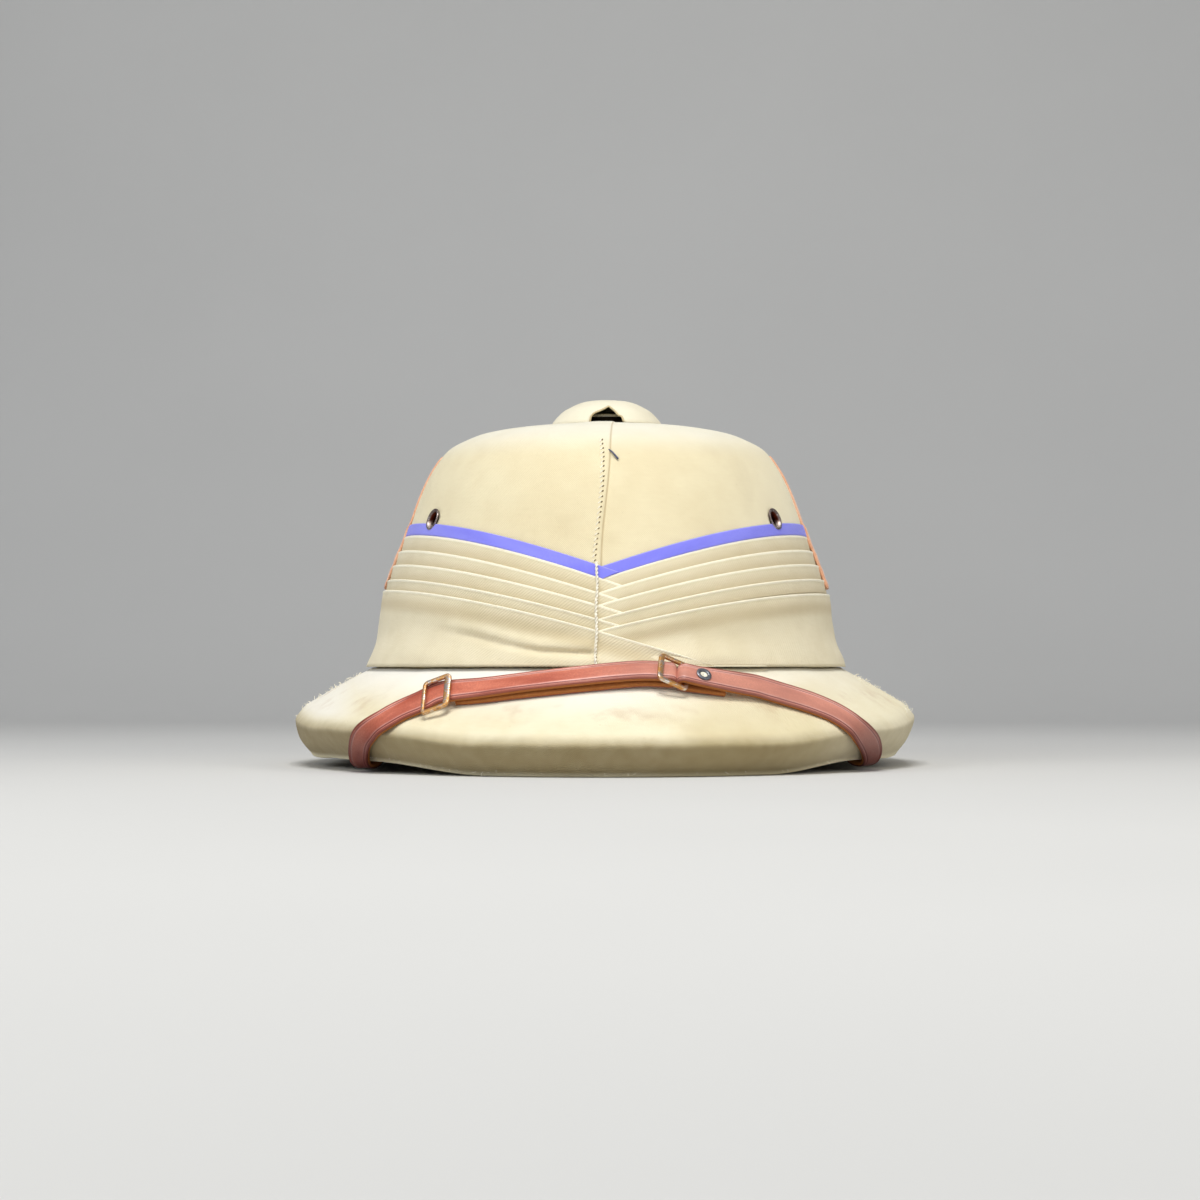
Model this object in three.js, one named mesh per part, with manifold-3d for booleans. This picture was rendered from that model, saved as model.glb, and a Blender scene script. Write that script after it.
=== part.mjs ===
// Pith helmet: a hollow cloth-covered dome with a thick sloping brim, a wound cloth band of shingled folds,
// a violet tape, a ventilator cap and a leather chin strap laid over the front of the brim.
// Millimetres, +Z up. The front faces -Y, and the origin lies under the middle of the brim,
// on the surface that the brim stands on.

import * as THREE from 'three';
import { mergeVertices } from 'three/addons/utils/BufferGeometryUtils.js';
import Module from 'manifold-3d';

const wasm = await Module();
wasm.setup();

const DEG = Math.PI / 180;
const CLEARANCE = 0.35;
const ROUND_STEPS = 68;

// Crown: half width of the dome at each height, from its lower edge to its peak
const CROWN_LENGTH_RATIO = 1.18;
const CROWN_FORWARD = 3.5;
const CROWN_WALL = 5;
const CROWN_OUTER_STEPS = 15;
const CROWN_INNER_STEPS = 7;
const CROWN_TRACE_STEPS = 240;
const CROWN_PROFILE = [
  { z: 31, half: 105.2 },
  { z: 43, half: 104 },
  { z: 56, half: 100.2 },
  { z: 70, half: 98.2 },
  { z: 82, half: 95.6 },
  { z: 94, half: 92.2 },
  { z: 106, half: 88.6 },
  { z: 118, half: 84.6 },
  { z: 128, half: 80.2 },
  { z: 136, half: 75.4 },
  { z: 141, half: 71 },
  { z: 145, half: 63.6 },
  { z: 147.5, half: 56.5 },
  { z: 150, half: 42 },
  { z: 151.6, half: 26 },
  { z: 152.6, half: 0 },
];

// Brim: a sloping ring of pith with a turned-down edge that lies flat at the front and back and arches
// over each side
const BRIM_HALF_WIDTH = 138.5;
const BRIM_HALF_LENGTH = 172;
const BRIM_TOP_Z = 43.2;
const BRIM_UNDER_Z = 31;
const BRIM_BELLY = 0.4;
const EDGE_DEPTH = 15.5;
const EDGE_ROUND = 4;
const EDGE_TUCK = 9;
const EDGE_BEVEL = 1.4;
const EDGE_LAND = 5;
const SIDE_ARCH = 9;
const SIDE_ARCH_HALF_LENGTH = 90;
const STRAP_RELIEF = 4.4;
const RELIEF_LEFT = { start: 45, full: 98 };
const RELIEF_RIGHT = { start: 75, full: 115 };

// Puggaree: height of each fold's upper edge at the sides and at the front, and how far it stands off the
// crown. The last fold is the plain lower band, which follows its own three rows.
const FOLD_STEP = 0.3;
const V_POWER = 1.5;
const PUGGAREE_BOTTOM_Z = 43.8;
const PUGGAREE_TOP_OFF = 1.2;
const PUGGAREE_INNER_STEPS = 6;
const FOLDS = [
  { side: 94.8, front: 73.7, off: 1.9 },
  { side: 88.5, front: 68.6, off: 2.5 },
  { side: 82, front: 62.8, off: 3.1 },
  { side: 77.3, front: 58, off: 4.3 },
];
const BAND_ROWS = [
  { share: 0.35, off: 3.4 },
  { share: 0.7, off: 3.6 },
  { share: 1, off: 4.7 },
];

// Violet tape above the folds
const RIBBON = { side: 104.2, front: 82.2, width: 5.3, thickness: 0.8 };

// Cord over the front seam
const CORD_RADIUS = 0.7;
const CORD_SIDES = 8;
const CORD_STEPS = 16;
const CORD_OVER_RIBBON = 1.2;
const CORD_SLACK = 0.15;

// Ventilator cap: half width and height above its seat
const CAP_SEAT_Z = 152.4;
const CAP_WALL = 1.8;
const CAP_SIDES = 32;
const CAP_PROFILE = [
  { half: 25, up: 0 },
  { half: 24.2, up: 2 },
  { half: 19, up: 7.2 },
  { half: 12, up: 10.5 },
  { half: 5, up: 11.7 },
  { half: 0, up: 11.9 },
];
const CAP_GAP = { width: 17, height: 7.4, depth: 16 };
const CAP_GAP_OVERCUT = 4;
const COLLAR_SIDES = 20;
const COLLAR_PROFILE = [
  { radius: 14.6, up: 0.35 },
  { radius: 16, up: 0.35 },
  { radius: 16, up: 3.2 },
  { radius: 14.6, up: 3.2 },
];
const VENT_RADIUS = 8;
const VENT_DRILL_REACH = 20;

// Eyelets
const EYELET_ANGLE = 56 * DEG;
const EYELET_Z = 107;
const EYELET_SIDES = 14;
const EYELET_STANDOFF = 0.55;
const EYELET_DRILL_DEPTH = 20;
const EYELET_DRILL_HEIGHT = 6;
const EYELET_PROFILE = [
  { radius: 3, up: -6 },
  { radius: 3.6, up: -6 },
  { radius: 3.6, up: 0 },
  { radius: 5.2, up: 0 },
  { radius: 5.2, up: 0.6 },
  { radius: 4.4, up: 1.3 },
  { radius: 3.4, up: 1.3 },
  { radius: 3, up: 0.7 },
];

// Side patches: how far the patch stands off the crown where it passes over tape and folds
const FLASH_HALF_ANGLE = 13.5 * DEG;
const FLASH_THICKNESS = 1.2;
const FLASH_COLUMNS = 8;
const FLASH_ROWS = [
  { z: 138, off: 0.4 },
  { z: 126, off: 0.5 },
  { z: 114, off: 0.7 },
  { z: 109.4, off: 1.6 },
  { z: 98, off: 1.8 },
  { z: 94, off: 2.4 },
  { z: 86, off: 3 },
  { z: 78.5, off: 3.6 },
];

// Chin strap: each row is a place on the brim's outline. Around counts 0 to 1 down the upper face, 1 to 2
// down the turned edge and past 2 back under the brim. Lift is how far the leather's middle stands off it.
const STRAP_WIDTH = 10.6;
const STRAP_THICKNESS = 2.1;
const STRAP_LEAN = 8 * DEG;
const STRAP_SIDE_LEAN = 23 * DEG;
const SIDE_LEAN_ANGLES = { start: 18 * DEG, full: 32 * DEG };
const LEAN_END_AROUND = { start: 0.95, full: 1.3 };
const STEPS_PER_ROW = 3;
const NORMAL_REACH = 0.12;
const FOLD_TURNS = 4;
const AROUND_SCALE = 100;
const STRAP_HOLE_REACH = 8;
const STRAP_LEFT_ROUTE = [
  { angle: -80, around: 3, lift: 1.6 },
  { angle: -70, around: 2.86, lift: 1.6 },
  { angle: -53, around: 2.45, lift: 2.5 },
  { angle: -49.4, around: 2.14, lift: 2.4 },
  { angle: -47.8, around: 1.85, lift: 1.8 },
  { angle: -44.1, around: 1.37, lift: 2.1 },
  { angle: -40.6, around: 1.12, lift: 2.4 },
  { angle: -38.3, around: 0.985, lift: 3.2 },
  { angle: -35.9, around: 0.825, lift: 4 },
  { angle: -32.6, around: 0.68, lift: 4.6 },
  { angle: -30.4, around: 0.585, lift: 5.7 },
  { angle: -27.4, around: 0.53, lift: 6.1 },
  { angle: -21.1, around: 0.455, lift: 5.8 },
  { angle: -13.3, around: 0.37, lift: 5.7 },
  { angle: 2, around: 0.262, lift: 6.3 },
  { angle: 10, around: 0.232, lift: 6.6 },
  { angle: 14.4, around: 0.262, lift: 6.8 },
];
const STRAP_RETURN_ROWS = [
  { angle: 10.5, drop: 3.2, slip: 0.3 },
  { angle: 0, drop: 3.2, slip: 0.6 },
  { angle: -10, drop: 2.9, slip: 0.7 },
  { angle: -19, drop: 2.7, slip: 0.5 },
  { angle: -26.6, drop: 2.7, slip: 0 },
];
const STRAP_RIGHT_ROUTE = [
  { angle: 17.7, around: 0.305, lift: 7.8 },
  { angle: 20.6, around: 0.34, lift: 7.3 },
  { angle: 28.9, around: 0.385, lift: 5.5 },
  { angle: 33.4, around: 0.425, lift: 4.8 },
  { angle: 41.3, around: 0.625, lift: 4.2 },
  { angle: 45.6, around: 0.815, lift: 3.9 },
  { angle: 47.9, around: 0.965, lift: 3.1 },
  { angle: 50.3, around: 1.16, lift: 2.1 },
  { angle: 55.5, around: 1.49, lift: 1.85 },
  { angle: 59.8, around: 1.87, lift: 1.8 },
  { angle: 61.4, around: 2.14, lift: 2.2 },
  { angle: 64, around: 2.42, lift: 2.4 },
  { angle: 68, around: 2.64, lift: 1.9 },
  { angle: 73.5, around: 2.84, lift: 1.6 },
  { angle: 80, around: 3, lift: 1.6 },
];
const STRAP_TAIL_ROWS = [
  { angle: 25.8, drop: 2.8, slip: 0 },
  { angle: 22, drop: 3.5, slip: 0 },
];
const LEFT_FOLD_DROP = 3.2;
const RIGHT_FOLD_DROP = 4.8;
const FAR_BAR_INSET = 0.9;

// Buckles: rectangular frames of flat wire, given by the angles of their two upright bars
const BUCKLE_WINDOW_HEIGHT = 12.6;
const BUCKLE_BAR = 1.6;
const BUCKLE_THICKNESS = 1.5;
const BUCKLE_LEFT_BARS = [-32.5, -28];
const BUCKLE_RIGHT_BAR = 13;

// Grommet through the right strap, and the stud that holds each strap end
const GROMMET_ANGLE = 20.6;
const GROMMET_SIDES = 14;
const GROMMET_PROFILE = [
  { radius: 1.6, up: -2.6 },
  { radius: 1.95, up: -2.6 },
  { radius: 1.95, up: 0 },
  { radius: 3.2, up: 0 },
  { radius: 2.9, up: 0.6 },
  { radius: 1.8, up: 0.7 },
  { radius: 1.6, up: 0.3 },
];
const STUD_SIDES = 14;
const STUD_HEAD_RADIUS = 3.6;
const STUD_HEAD_THICKNESS = 1.2;
const STUD_SHANK_RADIUS = 1.5;
const STUD_INSET = 6;
const STUD_TIP = 1;

const helmet = new THREE.Group();

// Builders

function addPiece(name, geometry, color, roughness, metalness) {
  geometry.computeVertexNormals();
  const mesh = new THREE.Mesh(geometry, new THREE.MeshStandardMaterial({ color, roughness, metalness }));
  mesh.name = name;
  helmet.add(mesh);
}

function signedVolume(points, triangles) {
  let volume = 0;
  for (const [a, b, c] of triangles) {
    volume += points[a].dot(new THREE.Vector3().crossVectors(points[b], points[c]));
  }
  return volume;
}

// Gives a closed geometry from points and triangles, with coinciding points merged and faces pointing out
function closedGeometry(points, triangles) {
  const facing = signedVolume(points, triangles) > 0;
  const geometry = new THREE.BufferGeometry();
  geometry.setFromPoints(points);
  geometry.setIndex(triangles.flatMap(([a, b, c]) => (facing ? [a, b, c] : [a, c, b])));
  const merged = mergeVertices(geometry, 1e-4);
  const index = merged.getIndex().array;
  const kept = [];
  for (let i = 0; i < index.length; i += 3) {
    const [a, b, c] = [index[i], index[i + 1], index[i + 2]];
    if (a !== b && b !== c && c !== a) {
      kept.push(a, b, c);
    }
  }
  merged.setIndex(kept);
  return merged;
}

// Skins columns of points, each a closed section. A ring joins its last column to its first, and anything
// else gets an end cap, where the section's first half faces its second half.
function skin(columns, ring) {
  const count = columns[0].length;
  const points = columns.flat();
  const triangles = [];
  const quad = (a, b, c, d) => triangles.push([a, b, c], [a, c, d]);
  const spans = ring ? columns.length : columns.length - 1;
  for (let i = 0; i < spans; i += 1) {
    const here = i * count;
    const next = ((i + 1) % columns.length) * count;
    for (let j = 0; j < count; j += 1) {
      const k = (j + 1) % count;
      quad(here + j, next + j, next + k, here + k);
    }
  }
  if (!ring) {
    const last = (columns.length - 1) * count;
    for (let j = 0; j < count / 2 - 1; j += 1) {
      quad(j, j + 1, count - 2 - j, count - 1 - j);
      quad(last + count - 1 - j, last + count - 2 - j, last + j + 1, last + j);
    }
  }
  return closedGeometry(points, triangles);
}

// Keeps only the positions of a geometry, with coinciding points merged
function positionsOnly(geometry) {
  const bare = geometry.clone();
  bare.deleteAttribute('normal');
  bare.deleteAttribute('uv');
  return mergeVertices(bare, 1e-4);
}

function solidOf(geometry) {
  const merged = positionsOnly(geometry);
  const vertProperties = new Float32Array(merged.getAttribute('position').array);
  const triVerts = new Uint32Array(merged.getIndex().array);
  return new wasm.Manifold(new wasm.Mesh({ numProp: 3, vertProperties, triVerts }));
}

function cut(geometry, cutters) {
  let solid = solidOf(geometry);
  for (const cutter of cutters) {
    solid = solid.subtract(solidOf(cutter));
  }
  const mesh = solid.getMesh();
  const result = new THREE.BufferGeometry();
  result.setAttribute('position', new THREE.BufferAttribute(mesh.vertProperties, 3));
  result.setIndex(new THREE.BufferAttribute(mesh.triVerts, 1));
  return result;
}

// Turns a profile of radius and height about an axis. An open profile starts and ends on the axis.
function turned(profile, sides, onAxis) {
  const rows = onAxis ? profile : [...profile, profile[0]];
  const columns = [];
  for (let i = 0; i < sides; i += 1) {
    const turn = (i / sides) * 2 * Math.PI;
    columns.push(rows.map(({ radius, up }) => (
      new THREE.Vector3(radius * Math.cos(turn), radius * Math.sin(turn), up)
    )));
  }
  return skin(columns, true);
}

function turnedAt(profile, sides, onAxis, place) {
  const geometry = turned(profile, sides, onAxis);
  const side = new THREE.Vector3().crossVectors(place.normal, place.tangent).normalize();
  const forward = new THREE.Vector3().crossVectors(side, place.normal).normalize();
  const matrix = new THREE.Matrix4().makeBasis(forward, side, place.normal);
  matrix.setPosition(place.point);
  return geometry.applyMatrix4(matrix);
}

function rod(radius, from, to) {
  return [{ radius: 0, up: from }, { radius, up: from }, { radius, up: to }, { radius: 0, up: to }];
}

function roundAngles() {
  return Array.from({ length: ROUND_STEPS }, (_, i) => (i / ROUND_STEPS) * 2 * Math.PI);
}

// Crown

const crownCurve = new THREE.SplineCurve(CROWN_PROFILE.map(({ z, half }) => new THREE.Vector2(half, z)));
const crownTrace = crownCurve.getPoints(CROWN_TRACE_STEPS);

function crownHalfAt(z) {
  const next = Math.max(1, crownTrace.findIndex((point) => point.y >= z));
  const below = crownTrace[next - 1];
  const above = crownTrace[next];
  return below.x + ((z - below.y) * (above.x - below.x)) / (above.y - below.y);
}

// A point on the crown's oval, where angle 0 is the front and the right side is positive
function onOval(angle, half, z) {
  const y = -half * CROWN_LENGTH_RATIO * Math.cos(angle) - CROWN_FORWARD;
  return new THREE.Vector3(half * Math.sin(angle), y, z);
}

// A point that stands off the crown's wall
function offCrown(angle, z, off) {
  return onOval(angle, crownHalfAt(z) + off, z);
}

function crownSection() {
  const outer = crownCurve.getPoints(CROWN_OUTER_STEPS);
  const inner = [];
  for (let i = CROWN_INNER_STEPS; i >= 0; i -= 1) {
    const along = i / CROWN_INNER_STEPS;
    const point = crownCurve.getPoint(along);
    const tangent = crownCurve.getTangent(along);
    const half = i === CROWN_INNER_STEPS ? 0 : point.x - CROWN_WALL * tangent.y;
    const z = i === 0 ? point.y : point.y + CROWN_WALL * tangent.x;
    inner.push(new THREE.Vector2(half, z));
  }
  return [...outer, ...inner];
}

function eyeletPlace(sign) {
  const point = offCrown(sign * EYELET_ANGLE, EYELET_Z, 0);
  const along = offCrown(sign * EYELET_ANGLE + DEG, EYELET_Z, 0).sub(point);
  const upward = offCrown(sign * EYELET_ANGLE, EYELET_Z + 1, 0).sub(point);
  const normal = new THREE.Vector3().crossVectors(along, upward).normalize();
  return { point: point.addScaledVector(normal, EYELET_STANDOFF), normal, tangent: along.normalize() };
}

const ventAxis = {
  point: new THREE.Vector3(0, -CROWN_FORWARD, 0),
  normal: new THREE.Vector3(0, 0, 1),
  tangent: new THREE.Vector3(1, 0, 0),
};

function makeCrown() {
  const section = crownSection();
  const columns = roundAngles().map((angle) => section.map((row) => onOval(angle, row.x, row.y)));
  const barrelRadius = EYELET_PROFILE[1].radius;
  const eyeletHole = rod(barrelRadius + CLEARANCE, -EYELET_DRILL_DEPTH, EYELET_DRILL_HEIGHT);
  const ventHole = rod(VENT_RADIUS, CAP_SEAT_Z - VENT_DRILL_REACH, CAP_SEAT_Z + VENT_DRILL_REACH);
  return cut(skin(columns, true), [
    turnedAt(eyeletHole, EYELET_SIDES, true, eyeletPlace(-1)),
    turnedAt(eyeletHole, EYELET_SIDES, true, eyeletPlace(1)),
    turnedAt(ventHole, EYELET_SIDES, true, ventAxis),
  ]);
}

// Brim

function smooth(from, to, value) {
  const share = THREE.MathUtils.clamp((value - from) / (to - from), 0, 1);
  return share * share * (3 - 2 * share);
}

// How far the lower edge lifts off the ground: a little where the strap passes under it, more at the sides
function edgeRise(x, y) {
  const { start, full } = x < 0 ? RELIEF_LEFT : RELIEF_RIGHT;
  const relief = STRAP_RELIEF * smooth(start, full, Math.abs(x));
  const share = Math.min(1, Math.abs(y) / SIDE_ARCH_HALF_LENGTH);
  return relief + (SIDE_ARCH - STRAP_RELIEF) * 0.5 * (1 + Math.cos(Math.PI * share));
}

// The brim's section plane at an angle: where it starts on the crown, which way it runs out and how far
function brimPlane(angle) {
  const inner = onOval(angle, crownHalfAt(BRIM_UNDER_Z) + CLEARANCE, 0);
  const outer = new THREE.Vector3(BRIM_HALF_WIDTH * Math.sin(angle), -BRIM_HALF_LENGTH * Math.cos(angle), 0);
  const out = outer.clone().sub(inner);
  const reach = out.length();
  const lower = edgeRise(outer.x, outer.y);
  const at = (along, z) => inner.clone().addScaledVector(out, along / reach).setZ(z);
  return { reach, lower, crease: lower + EDGE_DEPTH, at };
}

function brimColumn(angle) {
  const { reach, lower, crease, at } = brimPlane(angle);
  const slope = (BRIM_TOP_Z - crease) / reach;
  const foot = reach - EDGE_TUCK;
  return [
    at(0, BRIM_TOP_Z),
    at(reach / 2, (BRIM_TOP_Z + crease) / 2 + BRIM_BELLY),
    at(reach - EDGE_ROUND, crease + slope * EDGE_ROUND),
    at(reach - EDGE_ROUND / 4, crease - EDGE_ROUND / 4),
    at(reach, crease - EDGE_ROUND),
    at(foot, lower + EDGE_BEVEL),
    at(foot - EDGE_BEVEL, lower),
    at(foot - EDGE_BEVEL - EDGE_LAND, lower),
    at(0, BRIM_UNDER_Z),
  ];
}

// A point on the brim's outline, for what is laid over the brim
function brimSpot(angle, around) {
  const { reach, lower, crease, at } = brimPlane(angle);
  const foot = reach - EDGE_TUCK;
  const corners = [
    { key: 0, along: 0, z: BRIM_TOP_Z },
    { key: 1, along: reach - EDGE_ROUND / 6, z: crease - EDGE_ROUND / 6 },
    { key: 1.25, along: reach, z: crease - EDGE_ROUND },
    { key: 2, along: foot, z: lower },
    { key: 2.2, along: foot - EDGE_BEVEL - EDGE_LAND, z: lower },
    { key: 3.2, along: 0, z: BRIM_UNDER_Z },
  ];
  const next = Math.max(1, corners.findIndex(({ key }) => key >= around));
  const from = corners[next - 1];
  const to = corners[next];
  const share = (around - from.key) / (to.key - from.key);
  return at(THREE.MathUtils.lerp(from.along, to.along, share), THREE.MathUtils.lerp(from.z, to.z, share));
}

// The same point with the outline's outward normal, which is rounded off at the corners
function brimOutline(angle, around) {
  const across = brimSpot(angle + DEG, around).sub(brimSpot(angle - DEG, around));
  const down = brimSpot(angle, around + NORMAL_REACH).sub(brimSpot(angle, around - NORMAL_REACH));
  const normal = new THREE.Vector3().crossVectors(down, across).normalize();
  return { point: brimSpot(angle, around), normal };
}

// Puggaree, ribbon and cord

function vHeight({ side, front }, angle) {
  const turn = Math.abs(Math.atan2(Math.sin(angle), Math.cos(angle)));
  const fall = 1 - Math.sin(Math.min(turn, Math.PI / 2));
  return side - (side - front) * fall ** V_POWER;
}

function ribbonEdge(angle, sign) {
  return vHeight(RIBBON, angle) + (sign * RIBBON.width) / 2;
}

// Outer rows of the folded band from top to bottom
function puggareeRows(angle) {
  const rows = [{ z: ribbonEdge(angle, -1) - CLEARANCE, off: PUGGAREE_TOP_OFF }];
  for (const fold of FOLDS) {
    const z = vHeight(fold, angle);
    rows.push({ z: z + FOLD_STEP, off: rows[rows.length - 1].off });
    rows.push({ z, off: fold.off });
  }
  const bandTop = rows[rows.length - 1].z;
  for (const { share, off } of BAND_ROWS) {
    rows.push({ z: bandTop + share * (PUGGAREE_BOTTOM_Z - bandTop), off });
  }
  return rows;
}

function puggareeColumn(angle) {
  const rows = puggareeRows(angle);
  const top = rows[0].z;
  const outer = rows.map(({ z, off }) => offCrown(angle, z, off));
  const inner = [];
  for (let i = PUGGAREE_INNER_STEPS; i >= 0; i -= 1) {
    const z = top + (i / PUGGAREE_INNER_STEPS) * (PUGGAREE_BOTTOM_Z - top);
    inner.push(offCrown(angle, z, CLEARANCE));
  }
  return [...outer, ...inner];
}

function ribbonColumn(angle) {
  const top = ribbonEdge(angle, 1);
  const bottom = ribbonEdge(angle, -1);
  const outside = CLEARANCE + RIBBON.thickness;
  return [
    offCrown(angle, top, outside),
    offCrown(angle, bottom, outside),
    offCrown(angle, bottom, CLEARANCE),
    offCrown(angle, top, CLEARANCE),
  ];
}

function makeRibbon() {
  const flangeRadius = EYELET_PROFILE[3].radius;
  const seat = rod(flangeRadius + CLEARANCE, -EYELET_DRILL_HEIGHT, EYELET_DRILL_HEIGHT);
  return cut(skin(roundAngles().map(ribbonColumn), true), [
    turnedAt(seat, EYELET_SIDES, true, eyeletPlace(-1)),
    turnedAt(seat, EYELET_SIDES, true, eyeletPlace(1)),
  ]);
}

function makeSeamCord() {
  const rows = puggareeRows(0);
  const ribbonOff = CLEARANCE + RIBBON.thickness;
  const route = [
    { z: ribbonEdge(0, 1) + CORD_OVER_RIBBON, off: ribbonOff },
    { z: ribbonEdge(0, -1), off: PUGGAREE_TOP_OFF + CORD_SLACK },
    ...rows.filter((row, i) => i > 0 && i % 2 === 0).map(({ z, off }) => ({ z: z + FOLD_STEP, off })),
    { z: PUGGAREE_BOTTOM_Z + CORD_RADIUS, off: BAND_ROWS[2].off },
  ];
  const lift = CORD_RADIUS + CLEARANCE;
  const path = new THREE.CatmullRomCurve3(route.map(({ z, off }) => offCrown(0, z, off + lift)));
  const columns = path.getPoints(CORD_STEPS).map((point) => (
    Array.from({ length: CORD_SIDES }, (_, i) => {
      const turn = ((i + 0.5) / CORD_SIDES) * 2 * Math.PI;
      const spoke = new THREE.Vector3(Math.cos(turn), Math.sin(turn), 0);
      return point.clone().addScaledVector(spoke, CORD_RADIUS);
    })
  ));
  return skin(columns, false);
}

// Ventilator cap, eyelets and side patches

function makeVentCap() {
  const outer = CAP_PROFILE.map(({ half, up }) => ({ radius: half, up: up + CAP_SEAT_Z }));
  const inner = CAP_PROFILE.map(({ half, up }) => ({
    radius: Math.max(0, half - CAP_WALL),
    up: Math.max(0, up - CAP_WALL) + CAP_SEAT_Z,
  })).reverse();
  const dome = turnedAt([...outer, ...inner], CAP_SIDES, true, ventAxis);
  const opening = new THREE.Shape([
    new THREE.Vector2(-CAP_GAP.width / 2, -CAP_WALL),
    new THREE.Vector2(CAP_GAP.width / 2, -CAP_WALL),
    new THREE.Vector2(0, CAP_GAP.height),
  ]);
  const wedge = new THREE.ExtrudeGeometry(opening, { depth: CAP_GAP.depth, bevelEnabled: false });
  wedge.rotateX(Math.PI / 2);
  wedge.translate(0, CAP_GAP.depth - CAP_GAP_OVERCUT - CROWN_FORWARD - CAP_PROFILE[0].half, CAP_SEAT_Z);
  return cut(dome, [positionsOnly(wedge)]);
}

// Collar round the vent hole, under the cap
function makeVentCollar() {
  const point = new THREE.Vector3(0, -CROWN_FORWARD, CAP_SEAT_Z);
  return turnedAt(COLLAR_PROFILE, COLLAR_SIDES, false, { ...ventAxis, point });
}

function makeFlash(sign) {
  const columns = [];
  for (let i = 0; i <= FLASH_COLUMNS; i += 1) {
    const angle = sign * 90 * DEG + FLASH_HALF_ANGLE * ((2 * i) / FLASH_COLUMNS - 1);
    const outer = FLASH_ROWS.map(({ z, off }) => offCrown(angle, z, off + FLASH_THICKNESS));
    const inner = FLASH_ROWS.map(({ z, off }) => offCrown(angle, z, off)).reverse();
    columns.push([...outer, ...inner]);
  }
  return skin(columns, false);
}

// Chin strap

// Follows a route with a smooth curve through its angles, places and lifts
function routePlaces(route) {
  const curve = new THREE.CatmullRomCurve3(route.map(({ angle, around, lift }) => (
    new THREE.Vector3(angle, around * AROUND_SCALE, lift)
  )));
  const steps = (route.length - 1) * STEPS_PER_ROW;
  return curve.getPoints(steps).map(({ x, y, z }) => {
    const angle = x * DEG;
    const around = y / AROUND_SCALE;
    const { point, normal } = brimOutline(angle, around);
    return { point: point.addScaledVector(normal, z), normal, angle, around };
  });
}

// The part of a direction that is square to another
function squared(direction, tangent) {
  return direction.clone().addScaledVector(tangent, -direction.dot(tangent)).normalize();
}

// How far the leather leans to the crown: a little over the front, more where it slants down each side
function leanAt(angle, around) {
  const side = smooth(SIDE_LEAN_ANGLES.start, SIDE_LEAN_ANGLES.full, Math.abs(angle));
  const end = smooth(LEAN_END_AROUND.start, LEAN_END_AROUND.full, around);
  return THREE.MathUtils.lerp(STRAP_LEAN, STRAP_SIDE_LEAN, side) * (1 - end);
}

// Adds the direction of the run to each place, and leans the leather
function leaned(places) {
  return places.map(({ point, normal, angle, around }, i) => {
    const before = places[Math.max(0, i - 1)].point;
    const after = places[Math.min(places.length - 1, i + 1)].point;
    const tangent = after.clone().sub(before).normalize();
    const facing = squared(normal, tangent).applyAxisAngle(tangent, leanAt(angle, around));
    return { point, normal: facing, angle, tangent };
  });
}

// The place on a run at an angle, between the two places on either side of it
function runPlaceAt(run, angleDegrees) {
  const angle = angleDegrees * DEG;
  const next = Math.max(1, run.findIndex((place) => place.angle >= angle));
  const from = run[next - 1];
  const to = run[next];
  const share = (angle - from.angle) / (to.angle - from.angle);
  const tangent = to.point.clone().sub(from.point).normalize();
  return {
    point: from.point.clone().lerp(to.point, share),
    normal: squared(from.normal.clone().lerp(to.normal, share), tangent),
    tangent,
  };
}

// Places of a second layer under a run, sunk by a drop and slipped towards the edge of the brim
function underLayer(run, rows) {
  return rows.map(({ angle, drop, slip }) => {
    const { point, normal, tangent } = runPlaceAt(run, angle);
    const down = new THREE.Vector3().crossVectors(tangent, normal);
    return {
      point: point.addScaledVector(normal, -drop).addScaledVector(down, slip),
      normal: normal.negate(),
    };
  });
}

// Turns the leather back on itself at the end of a run
function foldPlaces({ point, normal }, onward, drop) {
  const places = [];
  const axis = point.clone().addScaledVector(normal, -drop / 2);
  for (let i = 0; i <= FOLD_TURNS; i += 1) {
    const turn = (i / FOLD_TURNS) * Math.PI;
    const facing = normal.clone().multiplyScalar(Math.cos(turn)).addScaledVector(onward, Math.sin(turn));
    places.push({ point: axis.clone().addScaledVector(facing, drop / 2), normal: facing });
  }
  return places;
}

function strapBand(places) {
  const columns = places.map(({ point, normal }, i) => {
    const before = places[Math.max(0, i - 1)].point;
    const after = places[Math.min(places.length - 1, i + 1)].point;
    const tangent = after.clone().sub(before).normalize();
    const side = new THREE.Vector3().crossVectors(tangent, normal).normalize();
    const up = new THREE.Vector3().crossVectors(side, tangent);
    const corner = (across, through) => (
      point.clone()
        .addScaledVector(side, (across * STRAP_WIDTH) / 2)
        .addScaledVector(up, (through * STRAP_THICKNESS) / 2)
    );
    return [corner(-1, 1), corner(1, 1), corner(1, -1), corner(-1, -1)];
  });
  return skin(columns, false);
}

const leftRun = leaned(routePlaces(STRAP_LEFT_ROUTE));
const rightRun = leaned(routePlaces(STRAP_RIGHT_ROUTE));
const leftEnd = leftRun[leftRun.length - 1];
const rightStart = rightRun[0];

function studPlace({ point, normal }, onward) {
  return { point: point.clone().addScaledVector(onward, STUD_INSET), normal, tangent: onward };
}

const studLeft = studPlace(leftRun[0], leftRun[0].tangent);
const strapRightEnd = rightRun[rightRun.length - 1];
const studRight = studPlace(strapRightEnd, strapRightEnd.tangent.clone().negate());
const grommetPlace = runPlaceAt(rightRun, GROMMET_ANGLE);

function strapHole(radius, sides, place) {
  return turnedAt(rod(radius + CLEARANCE, -STRAP_HOLE_REACH, STRAP_HOLE_REACH), sides, true, place);
}

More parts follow.
